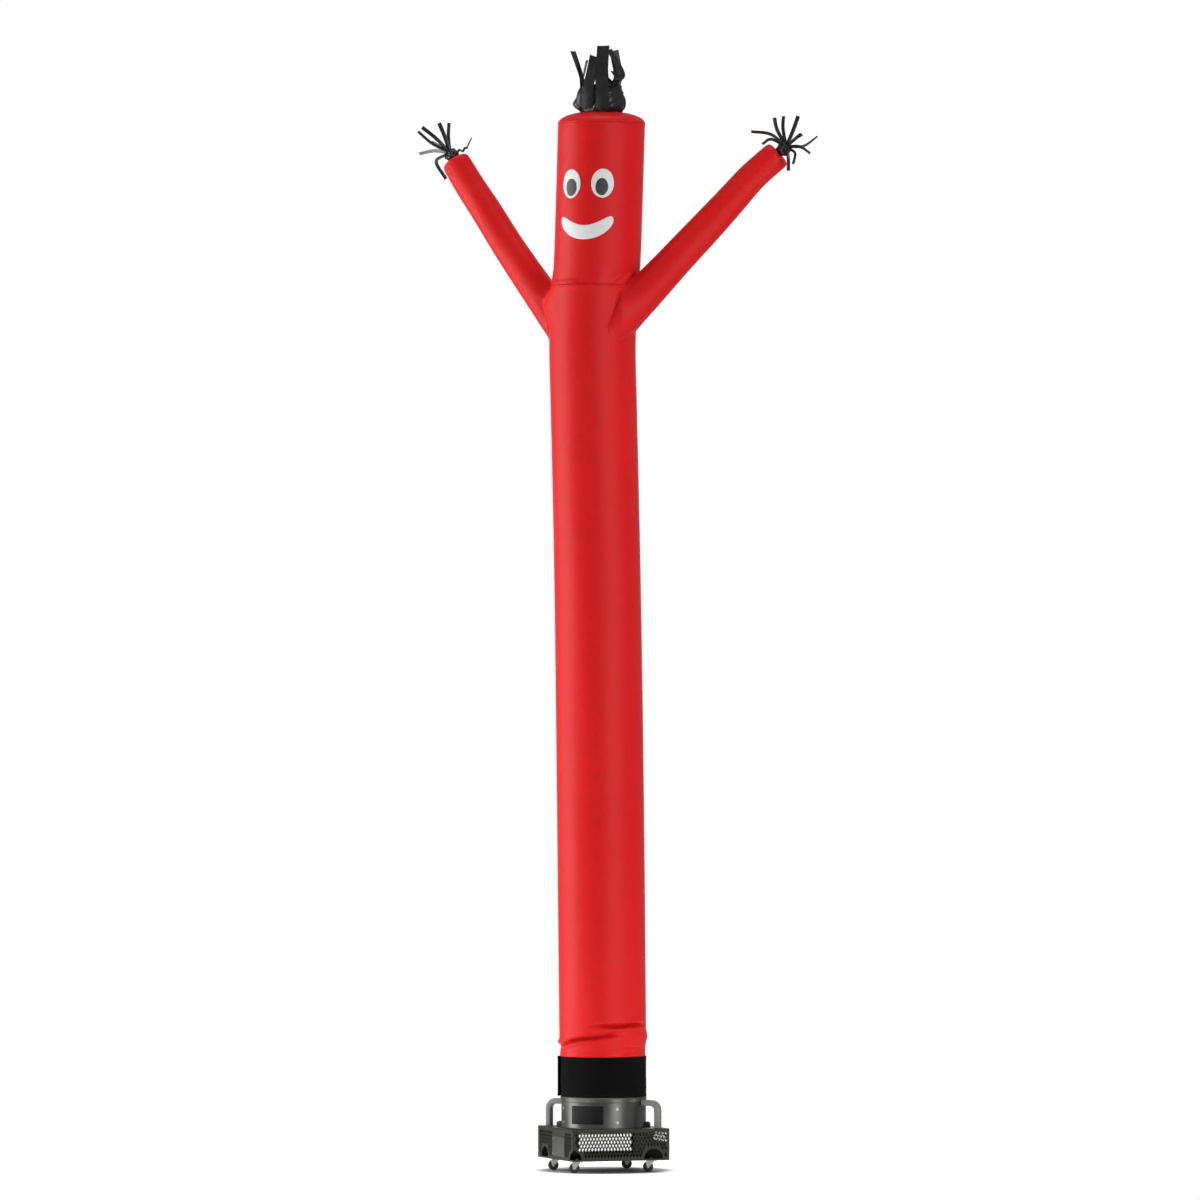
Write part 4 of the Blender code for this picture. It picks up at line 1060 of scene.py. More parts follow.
def make_knot(side):
    """The wound knot at the end of an arm."""
    end, along, across, over = arm_place(side, 1.0)
    rings = []
    for height in even(0.0, KNOT_PROFILE[-1][0], 26):
        centre = end + along * (GAP + 0.0005 + height)
        row = []
        for angle in even(0.0, 2 * pi, 60)[:-1]:
            wound = 1.0 + 0.10 * sin(3 * angle + height * 190.0) + 0.06 * sin(7 * angle - height * 130.0)
            radius = KNOT_RADIUS * hermite(KNOT_PROFILE, height) * wound * 0.97
            row.append(centre + across * (radius * cos(angle)) + over * (radius * sin(angle)))
        rings.append(row)
    return mended(grid_object("knot", rings, closed=True), fill=True, outwards=False)


def wrinkled(path):
    """The path with small waves up and down in its middle."""
    return [p + Vector((0, 0, 0.007 * sin(k * 1.15))) * (1 if 4 < k < 17 else 0) for k, p in enumerate(path)]


def looped(path, broad):
    """The path with a small loop at its end."""
    forward = (path[-1] - path[-2]).normalized()
    upward = broad.cross(forward).normalized()
    centre = path[-1] + upward * LOOP_RADIUS
    turns = [pi * 1.7 * k / 9 for k in range(1, 10)]
    steps = [(LOOP_RADIUS * sin(turn), LOOP_RADIUS * cos(turn)) for turn in turns]
    return path + [centre + forward * ahead - upward * down for ahead, down in steps]


def make_tassel(side):
    """A knot with its strips, one of the left ones painted light grey for its sheen and one wrinkled, one of
    the right ones a loop.
    """
    end, along, _, _ = arm_place(side, 1.0)
    root = end + along * KNOT_ROOT
    pieces = [make_knot(side)]
    for number, (*places, width) in enumerate(TASSELS[side]):
        tip, bend = root + Vector(places[:3]), root + Vector(places[3:])
        away = (bend - root).normalized()
        broad = away.cross(Vector((0.28, -1.0, 0.10))).normalized()
        broad.rotate(Matrix.Rotation(0.30 if number % 2 else -0.45, 3, away))
        path = smooth_path([root + away * (0.30 * KNOT_RADIUS), bend, tip])
        if (side, number) == WRINKLED_STRIP:
            path = wrinkled(path)
        if (side, number) == LOOPED_STRIP:
            path = looped(path, broad)
        pieces.append(strip_piece(path, width, broad, width * 0.10, 0.3 if number % 3 else -0.5))
    depsgraph = bpy.context.evaluated_depsgraph_get()
    first, count = [len(piece.evaluated_get(depsgraph).data.polygons) for piece in pieces[:2]]
    tassel = dress(joined(f"tassel_{side}", pieces, 50), "black_cloth", replaces=[f"hand_tassel_{side}"])
    # The first left strip is painted light grey: a painted sheen
    if side == "left":
        tassel.data.materials.append(MATERIALS["sheen_painted_strip"])
        for face in tassel.data.polygons[first:first + count]:
            face.material_index = 1
    return tassel


def hair_swell(turn):
    return sum(size * sin(waves * radians(turn) + phase) for waves, phase, size in HAIR_CRUMPLES)


def hair_crumple(turn, distance):
    """The angular dents of the gathered collar."""
    angle = radians(turn)
    near, second = noise.voronoi(Vector((sin(angle) * 1.25, cos(angle) * 1.25, distance * 9.0)))[0][:2]
    dent = 0.020 * (0.45 - near) - 0.006 * max(0.0, 1.0 - (second - near) / 0.12)
    middle, place, reach_round, reach_along, size = HAIR_LOBE
    lobe = size * exp(-((wrap(turn - middle) / reach_round) ** 2) - ((distance - place) / reach_along) ** 2)
    calm = min(1.0, distance / 0.02, (HAIR_SECTION[-1][0] - distance) / 0.02)
    return (0.25 + 0.75 * calm) * hair_swell(turn) + calm * (dent + lobe)


def hair_point(turn, distance):
    height = hermite(HAIR_SECTION, distance, 2)
    radius = HAIR_RADIUS + hermite(HAIR_SECTION, distance) + hair_crumple(turn, distance)
    tip = 0.006 * sin(5 * radians(turn) + 1.0) * max(0.0, height / 0.14) ** 2
    return around(turn, radius, HAIR_SEAT + height + tip, CROWN_X)


def make_hair():
    """The crumpled collar on the crown and its wide strips, the front ones from the collar's foot."""
    along = even(0.0, HAIR_SECTION[-1][0], 72)
    rows = [[hair_point(turn, distance) for turn in TURNS[:-1]] for distance in along]
    looks = ("black_cloth", "hair_tassel")
    collar = cloth_round("hair_collar", rows, HAIR_RADIUS, along, *looks, smooth_angle=40)
    pieces = []
    rim_out, rim_up = HAIR_SECTION[4][1:]
    offset = Vector((CROWN_X, 0.0, HAIR_SEAT))
    for number, (turn, *places, width, face) in enumerate(HAIR_STRIPS):
        radius, low, high = HAIR_RADIUS + rim_out + hair_swell(turn), rim_up - 0.040, rim_up + 0.010
        if abs(turn) < HAIR_FRONT_TURN:
            radius, low, high = HAIR_RADIUS + 0.034, 0.014, 0.108
        tip, bend = Vector(places[:3]), Vector(places[3:])
        knots = [around(turn, radius, low), around(turn, radius, high), bend, tip]
        path = [point + offset for point in smooth_path(knots)]
        broad = Vector((cos(radians(face)), sin(radians(face)), 0.0))
        pieces.append(strip_piece(path, width, broad, width * 0.05, 0.25 if number % 2 else -0.25))
    return collar, dress(joined("hair_strips", pieces, 50), "black_cloth")


def face_point(turn, along, height, outwards):
    return skin_point(turn + degrees(along / hermite(TUBE_RADII, height)), height, outwards)


def patch(name, grid, slot, node, sizes):
    us, vs = (even(0.0, size, len(row) - 1) for size, row in zip(sizes, (grid[0], grid)))
    made = grid_object(name, grid, us=us, vs=vs, smooth_angle=50)
    return dress(solidify(made, PATCH, offset=1.0), slot, replaces=[node])


def oval_edge(turn, height, half_width, half_height, outwards):
    spots = [(half_width * cos(a), height + half_height * sin(a)) for a in even(0.0, 2 * pi, 72)]
    return [(face_point(turn, x, z, outwards), skin_normal(turn)) for x, z in spots]


def oval_grid(turn, height, half_width, half_height, outwards, cells=20):
    def point(u, v):
        x = half_width * u * sqrt(1 - v * v / 2)
        return face_point(turn, x, height + half_height * v * sqrt(1 - u * u / 2), outwards)

    places = even(-1.0, 1.0, cells)
    return [[point(u, v) for u in places] for v in places]


def smile_point(s, v, outwards):
    """A point of the smile at a place along it and across it, both from -1 to 1."""
    half = SMILE_HALF_THICKNESS * (0.12 + 0.88 * sqrt(max(0.0, 1 - s**4)))
    lean = -v * half * 0.35 * s
    height = SMILE_LOW_Z + SMILE_RISE * s * s + v * half
    return face_point(FACE_TURN, SMILE_HALF_WIDTH * s + lean, height, outwards)


def make_face():
    """Eyes, pupils and smile: thin patches sewn on, one on the other."""
    pieces, edges = [], []
    top = FACE_GAP + PATCH
    for side, turn, height, *half, shift, drop in EYES:
        turn += FACE_TURN
        white = oval_grid(turn, height, *half, FACE_GAP)
        pieces.append(patch(f"eye_{side}", white, "white_cloth", f"eye_white_{side}", [2 * h for h in half]))
        edges.append(oval_edge(turn, height, *[h * EYE_SEWN for h in half], top))
        turn += degrees(shift / TUBE_RADIUS)
        dark = oval_grid(turn, height - drop, *PUPIL_HALF, top + FACE_GAP, cells=16)
        sizes = [2 * h for h in PUPIL_HALF]
        pieces.append(patch(f"pupil_patch_{side}", dark, "dark_patch", f"pupil_{side}", sizes))
    along = [0.5 * (s + sin(0.5 * pi * s)) for s in even(-1.0, 1.0, 48)]
    grid = [[smile_point(s, v, FACE_GAP) for s in along] for v in even(-1.0, 1.0, 8)]
    sizes = (2 * SMILE_HALF_WIDTH, 2 * SMILE_HALF_THICKNESS)
    pieces.append(patch("smile_patch", grid, "white_cloth", "smile", sizes))
    reach, depth = SMILE_SEWN
    places = [(k / 24 * reach, depth) for k in range(-24, 25)]
    places += [(s, -depth) for s, _ in reversed(places)]
    path = [(smile_point(s, v, top), skin_normal(FACE_TURN)) for s, v in places]
    return pieces, [stitches("face_stitches", [*edges, path + path[:1]], "white_cloth")]


def sleeve_point(wound, height, outwards=0.0):
    """A point of the band where it has gone round by so many degrees since its start."""
    turn = SLEEVE_START_TURN + wound
    rise = SLEEVE_LAYER * min(1.0, max(0.0, (wound - 350.0) / 20.0))
    share = (height - SLEEVE_BOTTOM) / (SLEEVE_TOP - SLEEVE_BOTTOM)
    slack = 0.0016 * sin(pi * share) * (0.5 + 0.5 * sin(radians(turn) * 3 + 0.4))
    wrinkle = 0.0010 * sin(radians(turn) * 11 + share * 5.0) * sin(pi * share)
    lift = SLEEVE_FREE_LIFT * max(0.0, (wound - 370.0) / SLEEVE_FREE_TURN) ** 1.3
    hem = 0.0007 if min(share, 1 - share) < 0.075 else 0.0
    settled = 1.0 if 20.0 < wound < 340.0 else 0.0
    radius = SLEEVE_RADIUS + rise + lift + hem + settled * (slack + wrinkle)
    return around(turn, radius + outwards, height)


def make_sleeve():
    """The black band, wound a little over a full turn, its free end standing off the drum."""
    wounds = [SLEEVE_STEP * k for k in range(int((370 + SLEEVE_FREE_TURN) / SLEEVE_STEP) + 1)]
    heights = even(SLEEVE_BOTTOM, SLEEVE_TOP, 44)
    rows = [[sleeve_point(wound, height) for wound in wounds] for height in heights]
    girth = [radians(wound) * SLEEVE_RADIUS for wound in wounds]
    band = grid_object("sleeve_band", rows, us=girth, vs=heights)
    dress(solidify(band, SLEEVE_THICKNESS, offset=1.0), "sleeve_cloth", replaces=["base_sleeve"])
    paths = [
        [(sleeve_point(w, z, SLEEVE_THICKNESS), skin_normal(SLEEVE_START_TURN + w)) for w in wounds[16:]]
        for z in (SLEEVE_BOTTOM + 0.014, SLEEVE_TOP - 0.014)
    ]
    return band, [stitches("sleeve_stitches", paths, "black_cloth")]


# The blower


def turned(name, profile, steps, matrix=None, smooth_angle=40):
    """A turned solid from a profile of (radius, height) points, open or closed on its axis."""
    rows = [[Vector((x, y, height)) for x, y in ring(radius, steps)] for radius, height in profile]
    made = mended(grid_object(name, rows, closed=True), join=0.000001, thin=0.0000005)
    made.data.shade_smooth()
    made.data.set_sharp_from_angle(angle=radians(smooth_angle))
    if matrix is not None:
        made.data.transform(matrix)
    return made


def plate(name, outlines, thickness, edge, matrix):
    """A flat sheet from an outline and its holes, lying in XY and centred on its thickness."""
    curve = bpy.data.curves.new(name, "CURVE")
    curve.dimensions = "2D"
    curve.fill_mode = "BOTH"
    curve.extrude = thickness / 2 - edge
    curve.bevel_depth = edge
    curve.bevel_resolution = 0
    curve.offset = -edge
    for points in outlines:
        line = curve.splines.new("POLY")
        line.points.add(len(points) - 1)
        for target, (x, y) in zip(line.points, points):
            target.co = (x, y, 0.0, 1.0)
        line.use_cyclic_u = True
    guide = placed(name, curve)
    data = bpy.data.meshes.new_from_object(guide.evaluated_get(bpy.context.evaluated_depsgraph_get()))
    bpy.data.objects.remove(guide, do_unlink=True)
    bm = bmesh.new()
    bm.from_mesh(data)
    bmesh.ops.remove_doubles(bm, verts=bm.verts, dist=0.00001)
    bmesh.ops.transform(bm, matrix=matrix, verts=bm.verts)
    bpy.data.meshes.remove(data)
    return from_bmesh(name, bm, 30)


def arc(centre_x, centre_z, radius, first, last, steps):
    angles = [radians(angle) for angle in even(first, last, steps)]
    return [(centre_x + radius * cos(angle), centre_z + radius * sin(angle)) for angle in angles]


def rounded_outline(half_x, half_y, corner, steps=5, shift=0.0):
    points = []
    for quarter, (x_sign, y_sign) in enumerate(((1, 1), (-1, 1), (-1, -1), (1, -1))):
        middle = (shift + x_sign * (half_x - corner), y_sign * (half_y - corner))
        points += arc(*middle, corner, 90 * quarter, 90 * quarter + 90, steps)
    return points


def panel_outlines(half_width, arches, lowest_row, end_cuts, solid_span):
    """The sheet's outline with its quarter-round corner, its half-round cut-outs and its diamonds."""
    low_cut, high_cut = end_cuts
    low, high = BASE_BOTTOM, BASE_TOP - SHEET - GAP
    sill = low + ARCH_SILL
    edge = [(-half_width, low), (half_width, low)]
    if high_cut:
        edge += [(half_width, sill), *arc(half_width, sill, high_cut, 180, 90, 14)]
    edge += [(half_width, high), (-half_width, high)]
    if low_cut:
        edge += [*arc(-half_width, sill, low_cut, 90, 0, 14), (-half_width, sill)]
    outlines = [edge] + [arc(centre, sill, ARCH_RADIUS, 0, 180, 28) for centre in arches]
    cuts = [(centre, ARCH_RADIUS) for centre in arches] + [(-half_width, low_cut), (half_width, high_cut)]
    wide, tall = HOLE_HALF
    columns = int(2 * half_width / HOLE_PITCH[0]) + 1
    for row in range(lowest_row, HOLE_ROWS):
        z = HOLE_LOW_Z + HOLE_PITCH[1] * row
        for column in range(-columns, columns + 1):
            x = HOLE_PITCH[0] * (column + 0.5 * (row % 2))
            near_cut = any(size and hypot(x - at, z - sill) < size + tall + HOLE_MARGIN for at, size in cuts)
            outside = abs(x) > half_width - wide - EDGE_MARGIN
            covered = solid_span is not None and solid_span[0] < x < solid_span[1]
            if not (near_cut or outside or covered):
                outlines.append([(x - wide, z), (x, z - tall), (x + wide, z), (x, z + tall)])
    return outlines


def make_base():
    """The base's top and its four perforated sides, with eased edges."""
    outlines = [rounded_outline(BASE_HALF, BASE_HALF, 0.0020, 3), ring(INTAKE_RADIUS, 96)]
    top = plate("base_cover", outlines, SHEET, 0.0005, BLOWER @ moved(0.0, 0.0, BASE_TOP - SHEET / 2))
    dress(top, "dark_paint", replaces=["base_top"])
    for name, turn, *shape in PANELS:
        half_width = BASE_HALF if turn % 180 == 0 else BASE_HALF - SHEET - GAP
        place = spun(BLOWER_TURN + turn) @ spun(90, "X") @ moved(0.0, 0.0, BASE_HALF - SHEET / 2)
        outlines = panel_outlines(half_width, *shape)
        side = plate(name.replace("panel", "grille"), outlines, SHEET, 0.0004, place)
        dress(side, "dark_paint", replaces=[name])


def make_cover():
    """The plain cover plate on the left side, with its two screws."""
    near, far = COVER_SPAN
    low, high = COVER_HEIGHTS
    face = -BASE_HALF - GAP
    outline = rounded_outline((far - near) / 2, (high - low) / 2, 0.004)
    flat = moved(face - SHEET / 2, -(near + far) / 2, (low + high) / 2) @ spun(90) @ spun(90, "X")
    made = plate("cover_sheet", [outline], SHEET, 0.0005, BLOWER @ flat)
    dress(made, "grey_paint", replaces=["cover_plate"])
    for number, height in enumerate((low + SCREW_INSET, high - SCREW_INSET), 1):
        lay = BLOWER @ moved(face - SHEET - GAP, -near - SCREW_INSET, height) @ spun(-90, "Y")
        head = turned(f"cover_screw_head_{number}", SCREW_PROFILE, 24, lay)
        dress(head, "zinc", replaces=[f"cover_screw_{number}"])


def make_drum():
    """The round duct: a rolled top edge, a proud band and a lapped upright seam."""
    bottom = BASE_TOP + GAP
    wall, inner = DRUM_RADIUS, DRUM_RADIUS - SHEET
    profile = [
        (inner, bottom), (wall + 0.0040, bottom), (wall + 0.0040, bottom + 0.0016),
        (wall + 0.0010, bottom + 0.0022), (wall, bottom + 0.0040), (wall, DRUM_TOP - 0.003),
        (wall - 0.0004, DRUM_TOP - 0.001), (wall - 0.0010, DRUM_TOP),
        (inner + 0.0004, DRUM_TOP - 0.0004), (inner, DRUM_TOP - 0.002), (inner, bottom),
    ]
    dress(turned("drum_wall", profile, ROUND_STEPS, smooth_angle=35), "grey_paint", replaces=["drum"])
    near, out = wall + GAP, wall + RING_PROUD
    low, high = RING_BOTTOM, RING_TOP
    profile = [
        (near, low + 0.001), (near + 0.001, low), (out - 0.0030, low), (out - 0.0010, low + 0.0010),
        (out - 0.0004, low + 0.004), (out - 0.0016, (low + high) / 2), (out - 0.0004, high - 0.004),
        (out, high - 0.0020), (out - 0.0010, high - 0.0006), (out - 0.0026, high),
        (near + 0.001, high), (near, high - 0.001), (near, low + 0.001),
    ]
    dress(turned("drum_band", profile, ROUND_STEPS, smooth_angle=35), "grey_paint", replaces=["drum_ring"])
    turns = [DRUM_SEAM_TURN + 6.0 * (k / 8 - 0.5) for k in range(9)]
    rows = [[around(turn, near, height) for turn in turns] for height in (bottom + 0.006, low - 0.002)]
    lap = solidify(grid_object("drum_lap", rows), 0.0012, offset=1.0)
    edges = {"segments": 2, "limit_method": "ANGLE", "angle_limit": radians(35), "harden_normals": True}
    dress(modify(lap, "BEVEL", width=0.0004, **edges), "grey_paint")


def make_label():
    """The bare plate on the drum: a thin film with round corners, bent to the drum."""
    low, high = LABEL_HEIGHTS
    half_height = (high - low) / 2
    half_width = radians(LABEL_ARC / 2) * DRUM_RADIUS
    rows = []
    for v in even(-1.0, 1.0, 18):
        y = half_height * sin(0.5 * pi * v)
        into = max(0.0, abs(y) - (half_height - LABEL_CORNER))
        half = half_width - (LABEL_CORNER - sqrt(max(0.0, LABEL_CORNER**2 - into**2)))
        turns = [LABEL_TURN + degrees(half * u / DRUM_RADIUS) for u in even(-1.0, 1.0, 36)]
        rows.append([around(turn, DRUM_RADIUS + 2 * GAP, (low + high) / 2 + y) for turn in turns])
    film = grid_object("label_film", rows, smooth_angle=50)
    dress(solidify(film, 0.0008, offset=1.0), "bare_plate", replaces=["label_plate"])


def make_bolts():
    """Button heads on washers, with a round socket."""
    places = [(turn, height) for turn in BOLT_TURNS for height in BOLT_HEIGHTS]
    for number, (turn, height) in enumerate(places, 1):
        lay = moved(0.0, 0.0, height) @ spun(turn) @ spun(90, "X") @ moved(0.0, 0.0, DRUM_RADIUS - 0.0006)
        head = turned(f"drum_bolt_head_{number}", BOLT_PROFILE, 28, lay)
        dress(head, "zinc", replaces=[f"drum_bolt_{number}"])


def handle_sections():
    """Places along a handle in its own plane: (out, height, direction out, direction up)."""
    centre_x, centre_z = HANDLE_OUT - HANDLE_BEND, HANDLE_BAR_Z - HANDLE_BEND
    path = [(DRUM_RADIUS + RING_PROUD + GAP, HANDLE_BAR_Z, 1.0, 0.0)]
    for k in range(17):
        angle = radians(90 - 90 * k / 16)
        across, up = cos(angle), sin(angle)
        path.append((centre_x + HANDLE_BEND * across, centre_z + HANDLE_BEND * up, up, -across))
    return path + [(HANDLE_OUT, BASE_TOP + GAP, 0.0, -1.0)]


def make_handles():
    """Bent oval tubes, each with a foot on the base."""
    wide, tall = HANDLE_SECTION[0] / 2, HANDLE_SECTION[1] / 2
    outline = rounded_outline(wide, tall, HANDLE_CORNER, 6)
    foot_outline = rounded_outline(tall + 0.004, wide + 0.004, 0.008, 6)
    for name, turn in HANDLE_TURNS.items():
        spin = spun(turn)
        rows = [
            [spin @ Vector((out - y * ahead_z, x, height + y * ahead_x)) for x, y in outline]
            for out, height, ahead_x, ahead_z in handle_sections()
        ]
        tube = mended(grid_object(name + "_tube", rows, closed=True, smooth_angle=50), fill=True)
        tube.data.set_sharp_from_angle(angle=radians(50))
        dress(tube, "grey_paint", replaces=[name], finish="handle_paint")
        lift = moved(HANDLE_OUT, 0.0, BASE_TOP + GAP + 0.0015)
        foot = plate(name + "_foot", [foot_outline], 0.0026, 0.0006, spin @ lift)
        dress(foot, "grey_paint", finish="handle_paint")


def make_brackets():
    """Small clips with round tops that hold the drum's foot."""
    deep, wide, tall = BRACKET_SIZE
    shoulder = tall - 0.012
    outline = [(0.0, 0.0), (deep, 0.0), (deep, shoulder)]
    outline += arc(deep - 0.012, shoulder, 0.012, 0, 90, 8) + [(0.0, tall)]
    for name, turn in BRACKET_TURNS.items():
        place = spun(turn) @ moved(DRUM_RADIUS + GAP, 0.0, BASE_TOP + GAP) @ spun(90, "X")
        dress(plate(name + "_clip", [outline], wide, 0.0010, place), "grey_paint", replaces=[name])


def make_stem(name, place):
    """Nut, washer and race of a caster, which stay with the base."""
    nut, race, low = BASE_BOTTOM + SHEET + GAP, BASE_BOTTOM - GAP, CROWN_TOP + RUNNING_CLEARANCE
    shank, foot = STEM_RADIUS - 0.0005, CROWN_BOTTOM
    profile = [
        (0.0, nut + 0.0100), (0.0030, nut + 0.0100), (0.0040, nut + 0.0090), (shank, nut + 0.0085),
        (shank, race), (0.0118, race), (0.0130, race - 0.0008), (0.0130, low + 0.0010), (0.0120, low),
        (0.0046, low), (shank, foot - 0.0005), (0.0060, foot - 0.0006), (0.0054, foot - 0.0016),
        (0.0, foot - 0.0018),
    ]
    shaft = turned("shaft", profile, 36, place)
    hexagon = plate("nut", [ring(0.0085, 6)], 0.0055, 0.0005, place @ moved(0.0, 0.0, nut + 0.0035))
    dress(joined(f"stem_{name}", [shaft, hexagon], 35), "zinc", replaces=[f"caster_stem_{name}"])


def make_fork(name, place, brake):
    """The pressed fork with its axle bolt, and a brake tab at the front."""
    outer = FORK_INNER_HALF + FORK_THICKNESS
    hole = ring(STEM_RADIUS + RUNNING_CLEARANCE, 20)
    crown = rounded_outline(0.022, outer, 0.0065, 6, shift=CASTER_TRAIL * 0.30)
    lift = moved(0.0, 0.0, (CROWN_TOP + CROWN_BOTTOM) / 2)
    pieces = [plate("crown", [crown, hole], CROWN_TOP - CROWN_BOTTOM, 0.0005, place @ lift)]
    leg = [(-0.0150, CROWN_TOP - 0.0010), (-0.0160, CROWN_TOP - 0.0060)]
    leg += arc(CASTER_TRAIL, AXLE_Z, 0.0078, 200, 340, 12)
    leg += [(CASTER_TRAIL + 0.0112, CROWN_TOP - 0.0120), (CASTER_TRAIL + 0.0100, CROWN_TOP - 0.0010)]
    for side in (-1, 1):
        upright = moved(0.0, side * (FORK_INNER_HALF + FORK_THICKNESS / 2), 0.0) @ spun(90, "X")
        pieces.append(plate("leg", [leg], FORK_THICKNESS, 0.0004, place @ upright))
        across = moved(CASTER_TRAIL, side * outer, AXLE_Z) @ spun(-90 * side, "X")
        nut_place = place @ across @ moved(0.0, 0.0, 0.0010)
        pieces.append(plate("nut", [ring(0.0050, 6)], 0.0020, 0.0003, nut_place))
    along = moved(CASTER_TRAIL, 0.0, AXLE_Z) @ spun(90, "X")
    profile = [(0.0, -outer), (0.0030, -outer), (0.0030, outer), (0.0, outer)]
    pieces.append(turned("axle", profile, 20, place @ along))
    dress(joined(f"fork_{name}", pieces, 35), "zinc", f"fork_{name}", [f"caster_fork_{name}"])
    if brake:
        tilt = moved(-0.0235, 0.0, 0.0592) @ spun(-16, "Y")
        outline = rounded_outline(0.0080, 0.0070, 0.0030)
        tab = plate(f"brake_tab_{name}", [outline], 0.0022, 0.0005, place @ tilt)
        dress(tab, "black_rubber", f"fork_{name}")


def make_wheel(name, place):
    """The wheel: a crowned tread, a sunk web on each side and a raised hub."""
    right = [(base + out, WHEEL_HALF_WIDTH - sunk) for base, out, sunk in WHEEL_PROFILE]
    profile = right + [(radius, -height) for radius, height in reversed(right)] + right[:1]
    lay = moved(CASTER_TRAIL, 0.0, AXLE_Z) @ spun(90, "X")
    wheel = turned(f"wheel_{name}", profile, 64, place @ lay, smooth_angle=35)
    dress(wheel, "black_rubber", f"roller_{name}", [f"caster_wheel_{name}"])


def make_casters():
    for name, u_side, v_side, brake in CASTERS:
        centre = BLOWER @ Vector((u_side * CASTER_U, v_side * CASTER_V, 0.0))
        place = Matrix.Translation(centre) @ spun(CASTER_TRAIL_ANGLE)
        make_stem(name, place)
        make_fork(name, place, brake)
        make_wheel(name, place)


# The stage


def make_floor():
    """A pale floor disc that fades out into the white background, with a painted shadow under the blower:
    darker colour and no glow there.
    """
    rows = [[Vector((x, y, 0.0)) for x, y in ring(radius, 96)] for radius in (0.0, 0.6, 1.2, 2.4)]
    ground = mended(grid_object("floor", rows, closed=True), join=0.0001)
    shade = Shader("floor_paper", (0.90, 0.90, 0.90), 0.8, Specular_IOR_Level=0.0)
    place = shade.coordinates("Object")

    def distance(point):
        return shade.node("ShaderNodeVectorMath", {"operation": "LENGTH"}, i0=point).outputs["Value"]

    fade = shade.ranged(distance(place), 0.7, 2.2)
    from_middle = shade.node("ShaderNodeVectorMath", {"operation": "SUBTRACT"}, i0=place, i1=SHADE_MIDDLE)
    inside = distance(from_middle.outputs[0])
    # Painted shadow: the floor's colour goes darker towards the middle under the blower
    shade.tones(shade.ranged(inside, *SHADE_EDGE), (0.50, 0.50, 0.50), (0.90, 0.90, 0.90))
    # The floor's glow keeps it white further out and fades to nothing under the blower, which darkens the
    # painted shadow
    strength = shade.ranged(inside, *SHADE_EDGE, 0.0, 0.50)
    glow = shade.node("ShaderNodeEmission", Color=(1.0, 1.0, 1.0, 1.0), Strength=strength)
    both = shade.node("ShaderNodeAddShader", i0=shade.shader.outputs[0], i1=glow.outputs[0])
    clear = shade.node("ShaderNodeBsdfTransparent")
    mixed = shade.node("ShaderNodeMixShader", i0=fade, i1=both.outputs[0], i2=clear.outputs[0])
    shade.tree.links.new(mixed.outputs[0], shade.tree.nodes["Material Output"].inputs["Surface"])
    ground.data.materials.append(shade.material)


def make_world():
    """White behind everything, and a dimmer even light on the object."""
    world = bpy.data.worlds.new("studio")
    bpy.context.scene.world = world
    world.use_nodes = True
    tree = world.node_tree
    background = tree.nodes["Background"]
    background.inputs["Color"].default_value = (1.0, 1.0, 1.0, 1.0)
    path = tree.nodes.new("ShaderNodeLightPath")
    level = tree.nodes.new("ShaderNodeMapRange")
    tree.links.new(path.outputs["Is Camera Ray"], level.inputs["Value"])
    level.inputs["To Min"].default_value = 0.29
    level.inputs["To Max"].default_value = 1.0
    tree.links.new(level.outputs[0], background.inputs["Strength"])


def aim(made, ahead):
    made.rotation_euler = ahead.to_track_quat("-Z", "Y").to_euler()


def make_lights():
    """Rectangular soft boxes that face the dancer's upright axis, and one straight overhead."""
    for name, turn, distance, height, wide, tall, power, aim_z in LIGHTS:
        data = bpy.data.lights.new(name, "AREA")
        data.shape = "RECTANGLE"
        data.size, data.size_y = wide, tall
        data.energy = power
        made = placed(name, data)
        made.location = around(CAMERA_TURN + turn, distance, height)
        made.visible_camera = False
        if aim_z is not None:
            aim(made, Vector((0.0, 0.0, aim_z)) - made.location)


def make_camera():
    lens = bpy.data.cameras.new("camera")
    lens.sensor_width = SENSOR * 1000
    lens.lens = FOCAL_PIXELS / IMAGE_PIXELS * lens.sensor_width
    lens.clip_end = 300
    made = placed("camera", lens)
    made.location = around(CAMERA_TURN, CAMERA_DISTANCE, CAMERA_HEIGHT)
    yaw = radians(CAMERA_TURN) + atan(MIDDLE_COLUMN_SHIFT / FOCAL_PIXELS)
    pitch = atan((FLOOR_ROW - IMAGE_PIXELS / 2) / FOCAL_PIXELS) - atan(CAMERA_HEIGHT / CAMERA_DISTANCE)
    aim(made, Vector((-sin(yaw) * cos(pitch), cos(yaw) * cos(pitch), sin(pitch))))
    bpy.context.scene.camera = made


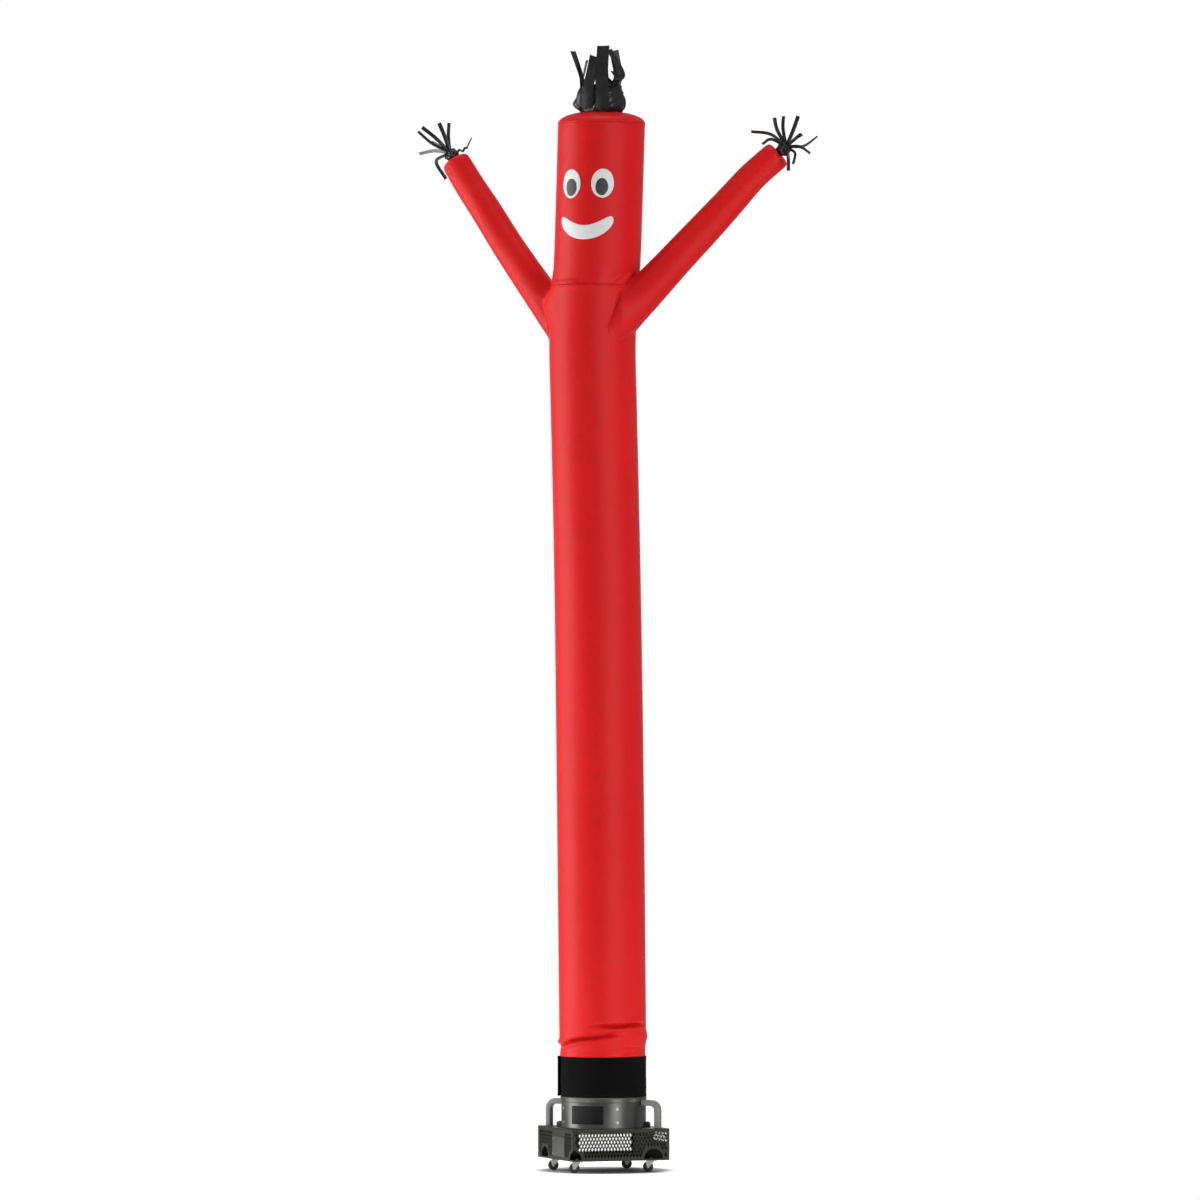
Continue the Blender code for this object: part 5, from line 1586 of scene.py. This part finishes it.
def make_seams():
    """Seam bands and stitches of the body and of the head."""
    low, high = HEM_Z + 0.004, NECK_Z - 0.010
    body = [
        welt("neck_seam", skin_round(NECK_Z - 0.0060, 0.0)[:-1], 0.0100, 0.0007, closed=True),
        welt("hem_seam", skin_round(HEM_Z + 0.0110, 0.0)[:-1], 0.0200, 0.0008, closed=True),
        welt("back_seam", skin_upright(SEAM_TURN, HEM_Z + 0.002, NECK_Z - 0.002, 0.0), 0.0110, 0.0012),
    ]
    rounds = [(NECK_Z - 0.0030, 0.0006), (NECK_Z - 0.0090, 0.0006)]
    rounds += [(HEM_Z + 0.0040, 0.0008), (HEM_Z + 0.0180, 0.0008)]
    paths = [skin_round(height, outwards + STITCH_LIFT / 2) for height, outwards in rounds]
    paths += [skin_upright(SEAM_TURN + side, low, high, 0.0012 + STITCH_LIFT / 2) for side in (0.8, -0.8)]
    body.append(stitches("body_stitches", paths, "red_cloth"))
    upright = skin_upright(SEAM_TURN, NECK_Z + 0.002, RIM_Z - 0.002, 0.0)
    paths = [
        skin_round(RIM_Z - 0.0050, 0.0006 + STITCH_LIFT / 2),
        skin_upright(SEAM_TURN, NECK_Z + 0.004, RIM_Z - 0.008, 0.0012 + STITCH_LIFT),
    ]
    head = [
        welt("head_back_seam", upright, 0.0110, 0.0012),
        welt("rim_seam", skin_round(RIM_Z - 0.0050, 0.0)[:-1], 0.0080, 0.0006, closed=True),
        stitches("head_stitches", paths, "red_cloth"),
    ]
    return body, head


def make_dancer():
    """All the cloth, with what is sewn to each piece."""
    body = tube_cloth("body_cloth", BODY_ZONES, "body_tube")
    head = tube_cloth("head_cloth", HEAD_ZONES, "head_tube")
    crown = make_crown()
    body_seams, head_seams = make_seams()
    face, face_seams = make_face()
    for side in ("left", "right"):
        arm, seams = make_arm(side)
        tassel = make_tassel(side)
    collar, strips = make_hair()
    band, threads = make_sleeve()


def finish_floor_plate():
    """The closed floor of the base keeps its shape and gets a darker, unreflective copy of the base paint:
    painted shade inside the box.
    """
    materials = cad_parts["base_frame"].data.materials
    materials.clear()
    # The darker copy of the paint stands in for the shade inside the box
    materials.append(MATERIALS["shaded_inner_paint"])


make_camera()
MATERIALS = make_materials()
make_dancer()
make_base()
make_cover()
make_drum()
make_label()
make_bolts()
make_handles()
make_brackets()
make_casters()
finish_floor_plate()
make_floor()
make_world()
make_lights()
bpy.context.scene.view_settings.view_transform = "Standard"
